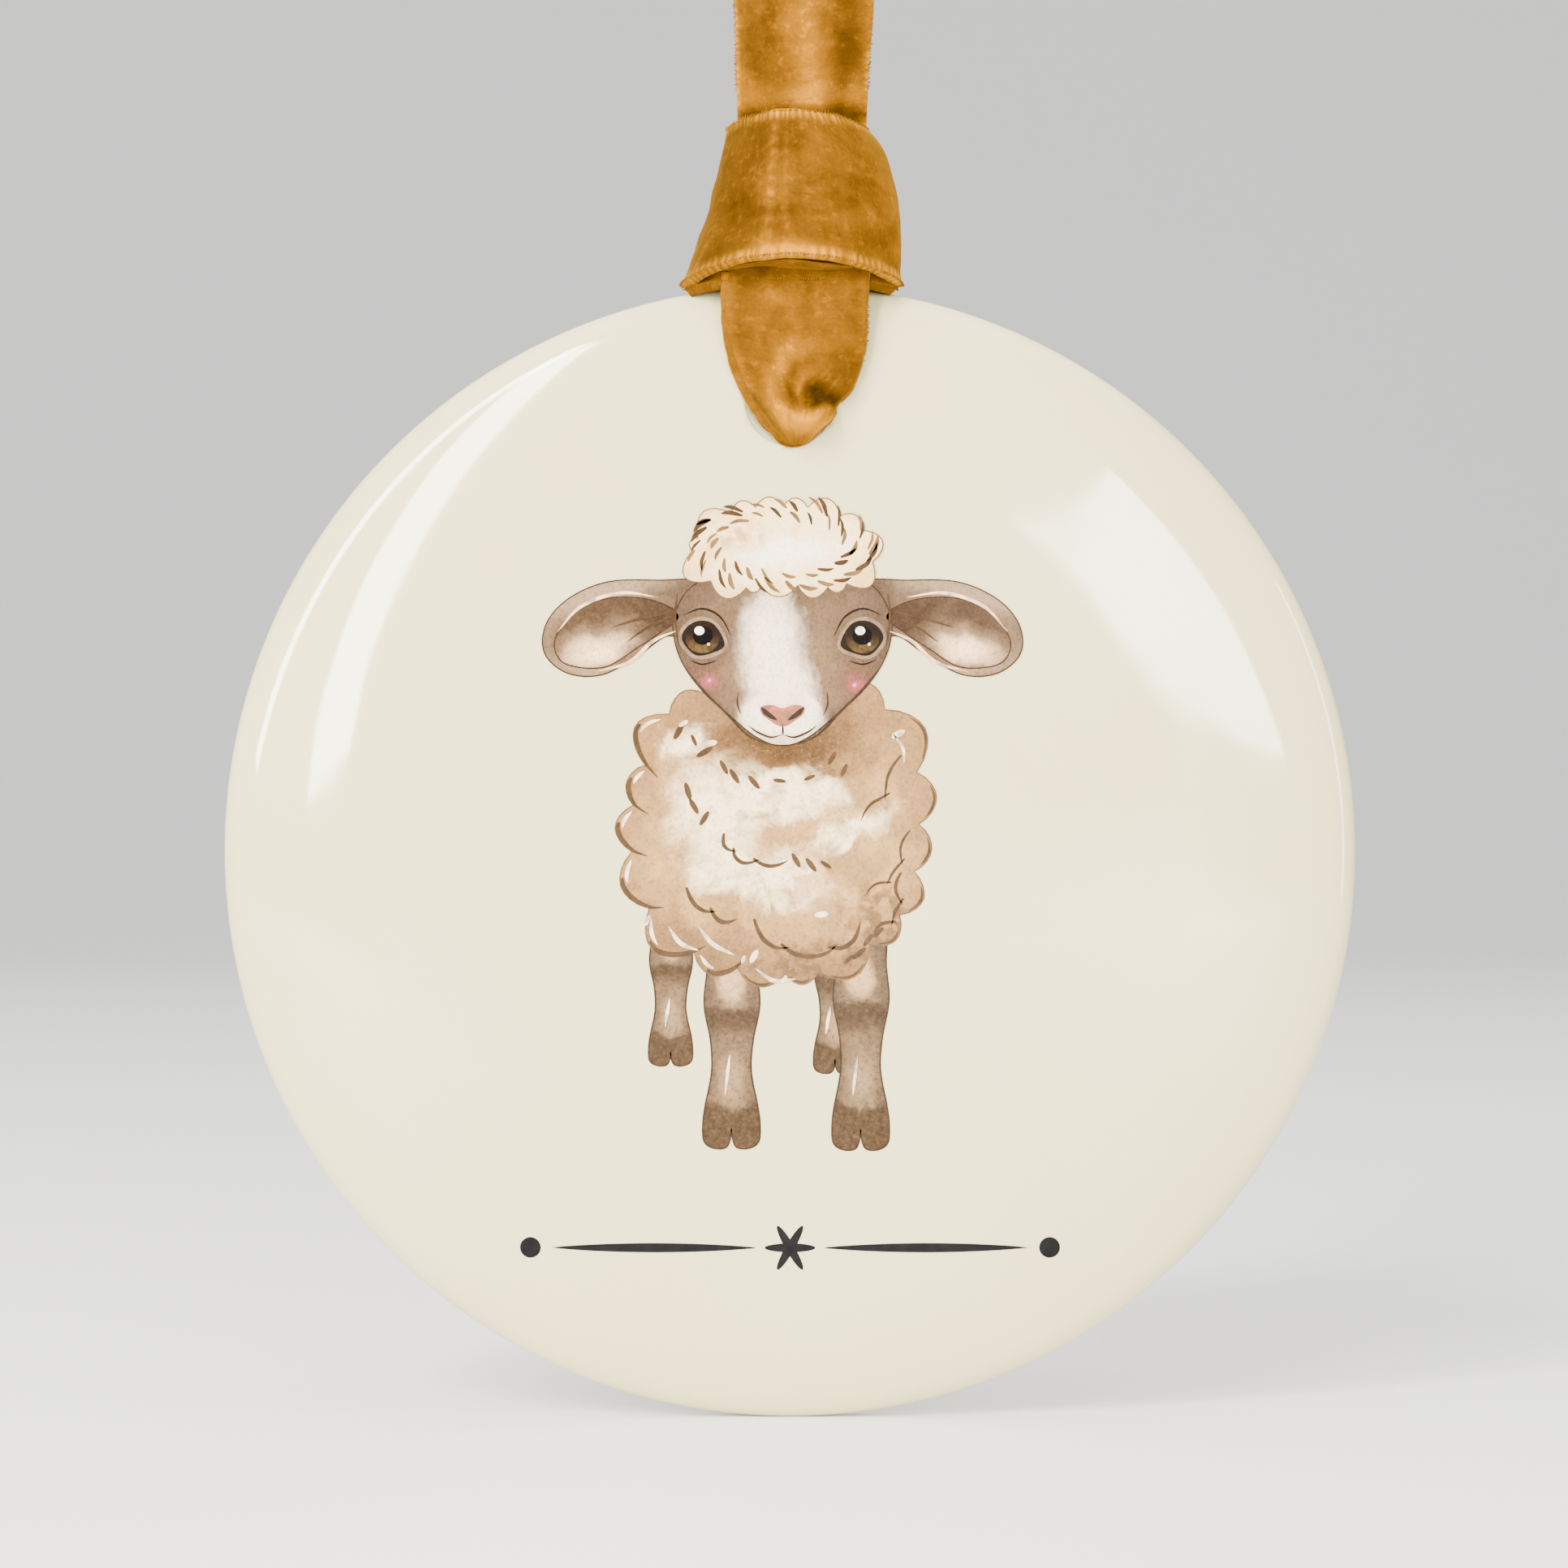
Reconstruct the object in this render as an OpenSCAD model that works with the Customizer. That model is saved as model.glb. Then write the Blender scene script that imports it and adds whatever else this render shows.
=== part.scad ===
// Round glazed ceramic tree ornament with a printed lamb, hung on a velvet ribbon.
// +Z is up and the printed face looks along -Y. The origin is the top of the eye in the
// ribbon, where a hook or twig carries the ornament.

/* [Ceramic disc] */
// Diameter of the disc
disc_d = 76; // [60:1:100]
// Height of the front face above the rim's widest line
front_h = 2.7; // [2:0.1:4]
// Height of the back face behind the rim's widest line
back_h = 1.8; // [1:0.1:3]
// Width of the rounded shoulder round the front face
shoulder_w = 13; // [6:0.5:16]
// Width of the rounded edge round the back face
back_edge_w = 2.6; // [1.5:0.1:5]
// Diameter of the hole for the ribbon
hole_d = 5; // [4:0.1:8]
// Distance from the rim to the middle of the hole
hole_inset = 8; // [6:0.5:12]

/* [Print] */
// Thickness of the printed transfers
print_t = 0.12; // [0.08:0.01:0.3]
// Bare border between the printed lamb and the shoulder
art_margin = 0.5; // [0:0.1:4]
// Width of the printed flourish below the lamb
flourish_w = 36; // [16:1:40]
// Distance from the lamb's hooves down to the middle of the flourish
flourish_gap = 6.4; // [4:0.1:7]

/* [Ribbon] */
// Width of the velvet ribbon
ribbon_w = 10; // [6:0.5:12]
// Thickness of the ribbon with its pile
ribbon_t = 0.9; // [0.6:0.1:1.4]
// Gap between the ribbon and the faces of the disc
face_gap = 0.3; // [0.2:0.05:1]
// Gap between the two strands where they enter a knot
strand_gap = 0.3; // [0.1:0.05:0.6]
// Width of the gathered ribbon at the hole
gather_w = 5.6; // [5:0.1:8]

/* [Hanging loop] */
// Distance from the top of the eye down to the rim of the disc
loop_len = 75; // [60:1:120]
// Radius of the eye's round top
eye_r = 3.2; // [2.5:0.1:5]
// Length of the ribbon's loose tails above the end knot
tail_len = 15; // [8:0.5:25]

/* [Knots] */
// How much wider than the ribbon the rim knot is at its foot
knot_flare = 4.6; // [2:0.1:8]
// Depth of both knots at the end away from the disc
knot_neck_d = 4; // [3:0.1:6]
// Height of the end knot
end_knot_h = 8; // [6:0.5:12]
// Gap between the rim of the disc and the rim knot
rim_gap = 0.7; // [0.6:0.05:2]

/* [Hidden] */
$fn = 48;

disc_r = disc_d / 2;
face_y = (front_h + back_h) / 2; // both faces stand this far from the middle plane
rim_z = -loop_len;
disc_z = rim_z - disc_r;
hole_z = rim_z - hole_inset;
shoulder_steps = 14;
shoulder_power = 2.5; // a higher power keeps the shoulder flat for longer
back_steps = 8;

// The lamb is drawn for a flat middle of this radius, and scaled to the one there is.
art_design_r = 24.5;
art_scale = (disc_r - shoulder_w - art_margin) / art_design_r;
lamb_x = -0.5;
hoof_z = -20;
flourish_z = hoof_z * art_scale - flourish_gap;

bend_gap = 1.0;  // between the rim knot and the line where the strands bend
bend_clear = 0.5; // between that line and the ends of the strands
twist_gap = 0.4; // between the upper and the lower strands
knot_bite = ribbon_t / 2; // the end knot closes this far over the top of the eye
knot_top_z = rim_z + rim_gap + ribbon_w;
bend_z = knot_top_z + bend_gap;
strand_end_z = bend_z + bend_clear;
twist_z = (strand_end_z - eye_r) / 2;
leg_y = face_y + face_gap; // inner face of each leg of the ribbon
knot_foot_d = 2 * (leg_y + ribbon_t);
knot_neck_w = ribbon_w + 0.4;

velvet = [0.77, 0.51, 0.17];
glaze = [0.91, 0.90, 0.85];
fleece_ink = [0.88, 0.78, 0.68];
skin_ink = [0.69, 0.59, 0.50];

// ---- disc ----------------------------------------------------------------------

// Drop of a rounded edge, as a share of its height, at a share s of its width
function edge_share(s, power) = sqrt(max(0, 1 - pow(s, power)));
function front_y(r) =
  let (s = max(0, r - (disc_r - shoulder_w)) / shoulder_w)
  front_h * edge_share(s, shoulder_power);

// Points of the front surface from radius r0 out to the rim, lifted by lift
function front_line(r0, lift = 0) = [
  for (i = [0:shoulder_steps])
    let (r = r0 + (disc_r - r0) * sin(90 * i / shoulder_steps))
    [r, front_y(r) + lift]
];
function back_line() = [
  for (i = [back_steps - 1:-1:0])
    let (s = sin(90 * i / back_steps))
    [disc_r - back_edge_w * (1 - s), -back_h * edge_share(s, 2)]
];

// Stands a piece drawn as seen from the front, with +Z towards the viewer, on the disc
module on_disc() {
  translate([0, face_y - back_h, disc_z]) rotate([90, 0, 0]) children();
}

module ceramic_disc() {
  profile = concat([[0, front_h]], front_line(disc_r - shoulder_w), back_line(), [[0, -back_h]]);
  color(glaze) difference() {
    on_disc() rotate_extrude($fn = 180) polygon(profile);
    translate([0, 0, hole_z]) rotate([90, 0, 0])
      cylinder(d = hole_d, h = 4 * face_y, center = true);
  }
}

// ---- print ---------------------------------------------------------------------

module ellipse(rx, ry) {
  polygon([for (a = [0:10:350]) [rx * cos(a), ry * sin(a)]]);
}

// An ellipse with a scalloped edge, like a ball of wool
module woolly(rx, ry, lobes, lobe_r) {
  ellipse(rx, ry);
  for (a = [0:360 / lobes:359])
    translate([rx * cos(a), ry * sin(a)]) circle(r = lobe_r, $fn = 24);
}

module fleece_outline() {
  translate([lamb_x - 0.3, 0.8]) woolly(8.3, 8.9, 17, 1.9);
}
module cap_outline() {
  translate([lamb_x, 20.2]) woolly(5, 1.9, 13, 1.3);
}
module face_outline() {
  translate([lamb_x, 0]) hull() {
    translate([0, 15.6]) ellipse(7, 4.6);
    translate([0, 9.6]) circle(r = 2.6);
  }
}
module ear_outline() {
  translate([-11.6, 15.1]) rotate(14) ellipse(4.9, 2.4);
}
module ears_outline() {
  translate([lamb_x, 0]) for (side = [0, 1]) mirror([side, 0]) ear_outline();
}

// One leg: its top, knee, ankle and hoof are circles at given heights
module leg_outline(x, top, foot, girth) {
  knee = top + 0.36 * (foot - top);
  ankle = top + 0.62 * (foot - top);
  stations = [[top, 1], [knee, 1.02], [ankle, 0.72], [foot, 1]];
  for (i = [0:len(stations) - 2]) hull() for (s = [stations[i], stations[i + 1]])
    translate([x, s[0] + girth]) circle(r = girth * s[1], $fn = 24);
}
module legs_outline() {
  leg_outline(-8, -5, -14.5, 1.4);
  leg_outline(2.9, -6, -15, 1.3);
  leg_outline(-4, -7, hoof_z, 1.9);
  leg_outline(4.8, -7, hoof_z, 1.9);
}

// Lays a transfer flat on the middle of the disc, in the lamb's own measure
module transfer() {
  on_disc() translate([0, 0, front_h]) linear_extrude(print_t) scale(art_scale) children();
}

module print_fleece() {
  color(fleece_ink) transfer() difference() {
    fleece_outline();
    face_outline();
  }
}
module print_face() {
  color(skin_ink) transfer() difference() {
    face_outline();
    cap_outline();
  }
}
module print_wool_cap() {
  color([0.95, 0.91, 0.85]) transfer() cap_outline();
}
module print_ears() {
  color([0.78, 0.69, 0.61]) transfer() difference() {
    ears_outline();
    face_outline();
    cap_outline();
  }
}
module print_legs() {
  color([0.70, 0.60, 0.51]) transfer() difference() {
    legs_outline();
    fleece_outline();
  }
}

// A line that swells in the middle between two stars, with a dot at each end
module flourish_outline() {
  star_r = 1.7;
  for (side = [0, 1]) mirror([side, 0]) {
    polygon([[star_r + 0.6, 0], [flourish_w / 4, 0.35], [flourish_w / 2 - 2.2, 0],
             [flourish_w / 4, -0.35]]);
    translate([flourish_w / 2 - 0.7, 0]) circle(r = 0.7, $fn = 24);
  }
  for (turn = [0:60:120]) rotate(turn)
    polygon([[-star_r, 0], [0, 0.28], [star_r, 0], [0, -0.28]]);
}
module print_flourish() {
  inner_r = disc_r - shoulder_w;
  skin = concat([[0, front_h + print_t]], front_line(inner_r, print_t),
                [for (i = [shoulder_steps:-1:0]) front_line(inner_r)[i]], [[0, front_h]]);
  color([0.06, 0.06, 0.06]) on_disc() intersection() {
    rotate_extrude($fn = 180) polygon(skin);
    translate([0, flourish_z]) linear_extrude(front_h + 1) flourish_outline();
  }
}

// ---- ribbon --------------------------------------------------------------------

// A leg of the ribbon from the rim knot down over one face, gathered at the hole
module leg(side) {
  foot_z = hole_z;
  head_z = rim_z + rim_gap;
  translate([0, side * (leg_y + ribbon_t / 2), 0]) rotate([90, 0, 0])
    linear_extrude(ribbon_t, center = true) hull() {
      translate([-ribbon_w / 2 + 0.4, head_z - 3]) square([ribbon_w - 0.8, 3]);
      translate([0, foot_z]) circle(d = gather_w);
    }
}
module front_leg() { color(velvet) leg(-1); }
module back_leg() { color(velvet) leg(1); }

// The ribbon rolled up where it goes through the hole
module hole_stretch() {
  color(velvet) translate([0, 0, hole_z]) rotate([90, 0, 0])
    cylinder(d = hole_d - 2 * face_gap, h = 2 * leg_y, center = true);
}

module rounded_slab(w, d, h, r) {
  linear_extrude(h) offset(r = r, $fn = 24) square([w - 2 * r, d - 2 * r], center = true);
}

// A knot as its outer shape: the ribbon wrapped round its own two strands
module knot(height, neck_w, neck_d, foot_w, foot_d) {
  slab_h = 0.6;
  hull() {
    rounded_slab(foot_w, foot_d, slab_h, 1.4);
    translate([0, 0, height - slab_h]) rounded_slab(neck_w, neck_d, slab_h, 1.4);
  }
}
module rim_knot() {
  color(velvet) translate([0, 0, rim_z + rim_gap])
    knot(ribbon_w, knot_neck_w, knot_neck_d, ribbon_w + knot_flare, knot_foot_d);
}
module end_knot() {
  color(velvet) translate([0, 0, ribbon_t - knot_bite])
    knot(end_knot_h, ribbon_w + knot_flare / 2, knot_neck_d, knot_neck_w, knot_neck_d + 0.6);
}

// Inner face of a strand at height z: a straight line from the eye down to the knot
function strand_y(z) =
  strand_gap / 2 + (eye_r - strand_gap / 2) * (z - strand_end_z) / (-eye_r - strand_end_z);

// A strand drawn in the YZ plane, which rotate() stands up and side turns to its face
module strand(side, from_z, to_z) {
  mirror([0, side < 0 ? 1 : 0, 0]) rotate([90, 0, 90])
    linear_extrude(ribbon_w, center = true)
      polygon([[strand_y(from_z), from_z], [strand_y(from_z) + ribbon_t, from_z],
               [strand_y(to_z) + ribbon_t, to_z], [strand_y(to_z), to_z]]);
}
// The quarter turn of a strand over the hook, up to the end knot
module eye_top(side) {
  mirror([0, side < 0 ? 1 : 0, 0]) translate([0, 0, -eye_r]) rotate([90, 0, 90])
    linear_extrude(ribbon_w, center = true) intersection() {
      difference() {
        circle(r = eye_r + ribbon_t);
        circle(r = eye_r);
      }
      translate([strand_gap / 2, 0]) square(eye_r + ribbon_t);
    }
}
module strand_upper(side) {
  eye_top(side);
  strand(side, -eye_r, twist_z + twist_gap / 2);
}
module strand_lower(side) {
  strand(side, twist_z - twist_gap / 2, strand_end_z);
}
module front_strand_lower() { color(velvet) strand_lower(-1); }
module back_strand_lower() { color(velvet) strand_lower(1); }
module front_strand_upper() { color(velvet) strand_upper(-1); }
module back_strand_upper() { color(velvet) strand_upper(1); }

// A loose end of the ribbon, leaning to one side and cut on the slant
module tail(side) {
  half = ribbon_w / 2;
  lean = 6;
  slant = 2;
  translate([0, side * (strand_gap + ribbon_t) / 2, ribbon_t - knot_bite + end_knot_h])
    rotate([90, 0, 0]) linear_extrude(ribbon_t, center = true) mirror([side > 0 ? 0 : 1, 0])
      polygon([[-half, 0], [half, 0], [half + lean, tail_len + slant],
               [lean - half, tail_len - slant]]);
}
module left_tail() { color(velvet) tail(-1); }
module right_tail() { color(velvet) tail(1); }

ceramic_disc();
print_fleece();
print_face();
print_wool_cap();
print_ears();
print_legs();
print_flourish();
front_leg();
hole_stretch();
back_leg();
rim_knot();
front_strand_lower();
back_strand_lower();
front_strand_upper();
back_strand_upper();
end_knot();
left_tail();
right_tail();
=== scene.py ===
"""A glazed ceramic tree ornament with a painted lamb, hung on a gold velvet ribbon."""
import math
import random

import bmesh
import bpy
from mathutils import Matrix, Vector, noise


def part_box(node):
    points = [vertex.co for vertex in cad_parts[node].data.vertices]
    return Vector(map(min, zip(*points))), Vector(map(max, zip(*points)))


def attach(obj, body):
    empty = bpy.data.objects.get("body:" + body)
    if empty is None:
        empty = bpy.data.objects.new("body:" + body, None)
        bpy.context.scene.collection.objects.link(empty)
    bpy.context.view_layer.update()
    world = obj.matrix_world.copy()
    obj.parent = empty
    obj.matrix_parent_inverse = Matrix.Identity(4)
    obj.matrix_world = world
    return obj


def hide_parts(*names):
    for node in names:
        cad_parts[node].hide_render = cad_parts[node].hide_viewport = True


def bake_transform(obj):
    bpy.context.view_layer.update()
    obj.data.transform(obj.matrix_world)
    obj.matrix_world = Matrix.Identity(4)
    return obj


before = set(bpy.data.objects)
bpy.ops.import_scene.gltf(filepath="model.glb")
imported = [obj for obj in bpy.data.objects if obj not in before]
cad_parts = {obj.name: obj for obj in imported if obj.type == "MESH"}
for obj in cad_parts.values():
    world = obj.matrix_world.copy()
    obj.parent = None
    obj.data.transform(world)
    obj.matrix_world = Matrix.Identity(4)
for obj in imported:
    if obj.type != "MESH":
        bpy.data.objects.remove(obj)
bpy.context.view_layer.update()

MM = 0.001


# ---- measures, in millimetres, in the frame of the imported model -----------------

def box_mm(node):
    low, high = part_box(node)
    return low / MM, high / MM


disc_low, disc_high = box_mm("ceramic_disc")
strand_low, strand_high = box_mm("front_strand_lower")
eye_low = box_mm("front_strand_upper")[0]
leg_low, leg_high = box_mm("front_leg")
roll_low, roll_high = box_mm("hole_stretch")
end_low, end_high = box_mm("end_knot")
tail_low, tail_high = box_mm("left_tail")

DISC_R = (disc_high.x - disc_low.x) / 2
DISC_Z = (disc_high.z + disc_low.z) / 2
RIM_Z = disc_high.z
FACE_Y = disc_low.y       # the printed face
BACK_Y = disc_high.y
HOLE_Z = (roll_low.z + roll_high.z) / 2
HOLE_R = (roll_high.x - roll_low.x) / 2 + 0.3
RIBBON_W = strand_high.x - strand_low.x
CLOTH_T = leg_high.y - leg_low.y
SHOULDER_W = 13.0         # width of the rounded shoulder round the face
SHOULDER_H = 2.7          # its drop down to the widest line of the rim
SHOULDER_POWER = 2.5      # a higher power keeps the shoulder flat for longer
BACK_EDGE_W = 2.6
BACK_EDGE_H = 1.8
RIM_Y = FACE_Y + SHOULDER_H


# ---- shader maths ---------------------------------------------------------------

STUDIO = 5.0    # how bright the studio's lights are taken to be when a paint is mixed


def shade_of(red, green, blue):
    """The paint that looks like a screen colour, from 0 to 255, under the studio's lights.
    Bright light washes colours out, so a paint is mixed deeper than it looks. The numbers here
    were fitted to the renderer's own view transform."""
    def spread(colour, by):
        grey = 0.34 * colour[0] + 0.49 * colour[1] + 0.17 * colour[2]
        return [grey + (c - grey) * by for c in colour]
    white = min(1.0, 237 / max(red, green, blue, 1)) / 255     # no paint is whiter than white
    look = spread([red * white, green * white, blue * white], 0.55)
    light = [0.29 * x ** 1.38 / max(0.02, 1 - 1.01 * x ** 0.89) for x in look]
    red, green, blue = (min(0.95, max(0.0008, x / STUDIO)) for x in spread(light, 1.76))
    return (red, green, blue, 1.0)


class Wire:
    """A number, vector or colour inside a material; arithmetic on it adds Math nodes."""

    def __init__(self, paint, socket):
        self.paint = paint
        self.socket = socket

    def maths(self, operation, *values):
        inputs = dict(enumerate(values))
        return self.paint.node("ShaderNodeMath", {"operation": operation}, inputs)

    def __add__(self, other):
        return self.maths("ADD", self, other)

    def __radd__(self, other):
        return self.maths("ADD", other, self)

    def __sub__(self, other):
        return self.maths("SUBTRACT", self, other)

    def __rsub__(self, other):
        return self.maths("SUBTRACT", other, self)

    def __mul__(self, other):
        return self.maths("MULTIPLY", self, other)

    def __rmul__(self, other):
        return self.maths("MULTIPLY", other, self)

    def __truediv__(self, other):
        return self.maths("DIVIDE", self, other)

    def __rtruediv__(self, other):
        return self.maths("DIVIDE", other, self)

    def __pow__(self, other):
        return self.maths("POWER", self, other)

    def __neg__(self):
        return self.maths("MULTIPLY", self, -1.0)

    def __abs__(self):
        return self.maths("ABSOLUTE", self)

    def sine(self):
        return self.maths("SINE", self)

    def root(self):
        return self.maths("SQRT", self)

    def most(self, other):
        return self.maths("MAXIMUM", self, other)

    def least(self, other):
        return self.maths("MINIMUM", self, other)

    def rise(self, start, end):
        """0 before start and 1 after end, with a soft step between them."""
        return self.paint.node(
            "ShaderNodeMapRange", {"interpolation_type": "SMOOTHSTEP"},
            {0: self, 1: start, 2: end, 3: 0.0, 4: 1.0})


class Paint:
    """One material and the nodes that make its finish."""

    def __init__(self, name, roughness=0.5, ior=1.5):
        self.material = bpy.data.materials.new(name)
        self.material.use_nodes = True
        self.tree = self.material.node_tree
        self.finish = self.tree.nodes["Principled BSDF"]
        self.finish.inputs["Roughness"].default_value = roughness
        self.finish.inputs["IOR"].default_value = ior

    def node(self, kind, settings, inputs, output=0):
        made = self.tree.nodes.new(kind)
        for key, value in settings.items():
            if key == "stops":
                stops = made.color_ramp.elements
                while len(stops) < len(value):
                    stops.new(1.0)
                for stop, (place, colour) in zip(stops, value):
                    stop.position = place
                    stop.color = colour
            else:
                setattr(made, key, value)
        for key, value in inputs.items():
            if isinstance(value, Wire):
                self.tree.links.new(value.socket, made.inputs[key])
            else:
                made.inputs[key].default_value = value
        return Wire(self, made.outputs[output])

    def set(self, socket, value):
        if isinstance(value, Wire):
            self.tree.links.new(value.socket, self.finish.inputs[socket])
        else:
            self.finish.inputs[socket].default_value = value

    def mix(self, factor, under, over, blend="MIX"):
        settings = {"data_type": "RGBA", "blend_type": blend}
        return self.node("ShaderNodeMix", settings, {0: factor, 6: under, 7: over}, 2)

    def grey(self, wire, stops):
        """A number read off a curve of (place, value) stops."""
        stops = [(place, (value, value, value, 1.0)) for place, value in stops]
        return self.node("ShaderNodeValToRGB", {"stops": stops}, {0: wire})

    def place(self):
        """Where a point of the object is, in millimetres."""
        found = self.node("ShaderNodeTexCoord", {}, {}, "Object")
        return self.node("ShaderNodeVectorMath", {"operation": "SCALE"}, {0: found, "Scale": 1 / MM})

    def parts_of(self, vector):
        return [self.node("ShaderNodeSeparateXYZ", {}, {0: vector}, axis) for axis in "XYZ"]

    def joined(self, x, y, z):
        return self.node("ShaderNodeCombineXYZ", {}, {0: x, 1: y, 2: z})

    def noise(self, vector, scale, detail=2.0, roughness=0.5, distortion=0.0):
        """Cloudy noise from 0 to 1; scale is in clouds a millimetre."""
        inputs = {"Vector": vector, "Scale": scale, "Detail": detail, "Roughness": roughness,
                  "Distortion": distortion}
        return self.node("ShaderNodeTexNoise", {}, inputs)

    def bump(self, height, strength, depth_mm):
        bumped = self.node("ShaderNodeBump", {},
                           {"Strength": strength, "Distance": depth_mm * MM, "Height": height})
        self.set("Normal", bumped)


# ---- pieces ---------------------------------------------------------------------

def piece(name, bm, paints, body, stands_for=(), smooth=True):
    """Makes a bmesh drawn in millimetres an object that rides on a body of the frame."""
    bmesh.ops.transform(bm, matrix=Matrix.Scale(MM, 4), verts=bm.verts)
    mesh = bpy.data.meshes.new(name)
    bm.to_mesh(mesh)
    bm.free()
    for paint in paints:
        mesh.materials.append(paint)
    mesh.polygons.foreach_set("use_smooth", [smooth] * len(mesh.polygons))
    made = bpy.data.objects.new(name, mesh)
    bpy.context.scene.collection.objects.link(made)
    if body:
        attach(made, body)
    if stands_for:
        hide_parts(*stands_for)
    return made


def settled(made):
    """Applies the piece's modifiers to its mesh."""
    bpy.context.view_layer.update()
    mesh = bpy.data.meshes.new_from_object(
        made.evaluated_get(bpy.context.evaluated_depsgraph_get()))
    old = made.data
    made.modifiers.clear()
    made.data = mesh
    mesh.name = old.name
    bpy.data.meshes.remove(old)
    return made


# ---- ceramic disc ---------------------------------------------------------------

def shoulder_drop(radius):
    """How far the printed side has dropped at that radius, towards the rim."""
    share = min(1.0, max(0.0, radius - (DISC_R - SHOULDER_W)) / SHOULDER_W)
    return SHOULDER_H * (1 - math.sqrt(1 - share ** SHOULDER_POWER))


def face_y(x, z):
    return FACE_Y + shoulder_drop(math.hypot(x, z - DISC_Z))


def disc_profile():
    """Points (radius, y) from the middle of the face, round the rim, to the middle of the back."""
    flat_r = DISC_R - SHOULDER_W
    line = [(flat_r * share, FACE_Y) for share in (0.0, 0.34, 0.67, 0.9)]
    for i in range(41):
        radius = flat_r + SHOULDER_W * math.sin(math.pi / 2 * i / 40)
        line.append((radius, FACE_Y + shoulder_drop(radius)))
    for i in range(1, 17):
        angle = math.pi / 2 * i / 16
        line.append((DISC_R - BACK_EDGE_W * (1 - math.cos(angle)),
                     RIM_Y + BACK_EDGE_H * math.sin(angle)))
    back_r = DISC_R - BACK_EDGE_W
    return line + [(back_r * share, BACK_Y) for share in (0.97, 0.9, 0.75, 0.5, 0.25, 0.0)]


def turned(profile, steps, middle_z):
    """A profile of (radius, y) points turned round the disc's own axis."""
    bm = bmesh.new()
    points = [bm.verts.new((radius, y, middle_z)) for radius, y in profile]
    edges = [bm.edges.new(pair) for pair in zip(points, points[1:])]
    bmesh.ops.spin(bm, geom=points + edges, cent=(0, 0, middle_z), axis=(0, 1, 0),
                   angle=2 * math.pi, steps=steps, use_merge=True)
    bmesh.ops.remove_doubles(bm, verts=bm.verts, dist=0.0005)
    bmesh.ops.recalc_face_normals(bm, faces=bm.faces)
    return bm


def hole_cutter():
    """A spool: the hole's wall with a rounded lip at each face."""
    lip = 0.5
    line = [(0, FACE_Y - 3)]
    for side, edge_y in ((-1, face_y(0, HOLE_Z)), (1, BACK_Y)):
        turns = range(9) if side < 0 else range(8, -1, -1)
        flare = [(HOLE_R + lip * (1 - math.cos(math.radians(90 - 11.25 * i))),
                  edge_y - side * lip * math.sin(math.radians(11.25 * i))) for i in turns]
        if side < 0:
            line += [(HOLE_R + lip, FACE_Y - 3)] + flare
        else:
            line += flare + [(HOLE_R + lip, BACK_Y + 3)]
    return turned(line + [(0, BACK_Y + 3)], 48, HOLE_Z)


def make_disc(glaze):
    disc = piece("disc_body", turned(disc_profile(), 288, DISC_Z), [glaze], "disc",
                 ["ceramic_disc"])
    cutter = piece("hole_spool", hole_cutter(), [glaze], None)
    cut = disc.modifiers.new("hole", "BOOLEAN")
    cut.object = cutter
    cut.solver = "EXACT"
    settled(disc)
    bpy.data.objects.remove(cutter)
    return disc


def glaze_paint():
    """Cream glaze: deep gloss with a faint waviness and a few pinholes."""
    paint = Paint("cream_glaze", roughness=0.07, ior=1.52)
    where = paint.place()
    cloud = paint.noise(where, 0.05, 3.0)
    speck = paint.noise(where, 2.2, 1.0).rise(0.79, 0.83)
    cream = paint.mix(cloud.rise(0.3, 0.7), (0.595, 0.525, 0.27, 1.0), (0.615, 0.545, 0.29, 1.0))
    paint.set("Base Color", paint.mix(speck * 0.25, cream, (0.6, 0.48, 0.32, 1.0)))
    paint.set("Roughness", 0.055 + 0.03 * paint.noise(where, 0.35, 4.0).rise(0.35, 0.75))
    paint.bump(paint.noise(where, 0.16, 1.0) + speck * -0.02, 0.35, 0.05)
    return paint.material


# ---- painted lamb: outlines -----------------------------------------------------

def between(a, b, c, d, t):
    """A point of the round line from b to c, with a before them and d after them."""
    return 0.5 * (2 * b + (c - a) * t + (2 * a - 5 * b + 4 * c - d) * t ** 2
                  + (3 * b - a - 3 * c + d) * t ** 3)


def smooth_loop(points, steps=6):
    """A closed round line through the points."""
    line, count = [], len(points)
    for i in range(count):
        corners = [Vector(points[(i + k) % count]) for k in (-1, 0, 1, 2)]
        line += [between(*corners, s / steps) for s in range(steps)]
    return line


def smooth_path(points, steps=8):
    """An open round line through the points."""
    ends = [2 * Vector(points[0]) - Vector(points[1])]
    ends += [Vector(p) for p in points]
    ends += [2 * Vector(points[-1]) - Vector(points[-2])]
    line = []
    for corners in zip(ends, ends[1:], ends[2:], ends[3:]):
        line += [between(*corners, s / steps) for s in range(steps)]
    return line + [Vector(points[-1])]


def both_sides(points):
    """Points of the left half, from the top down, and their mirror images going back up."""
    return points + [(-x, z) for x, z in reversed(points) if x != 0]


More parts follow.
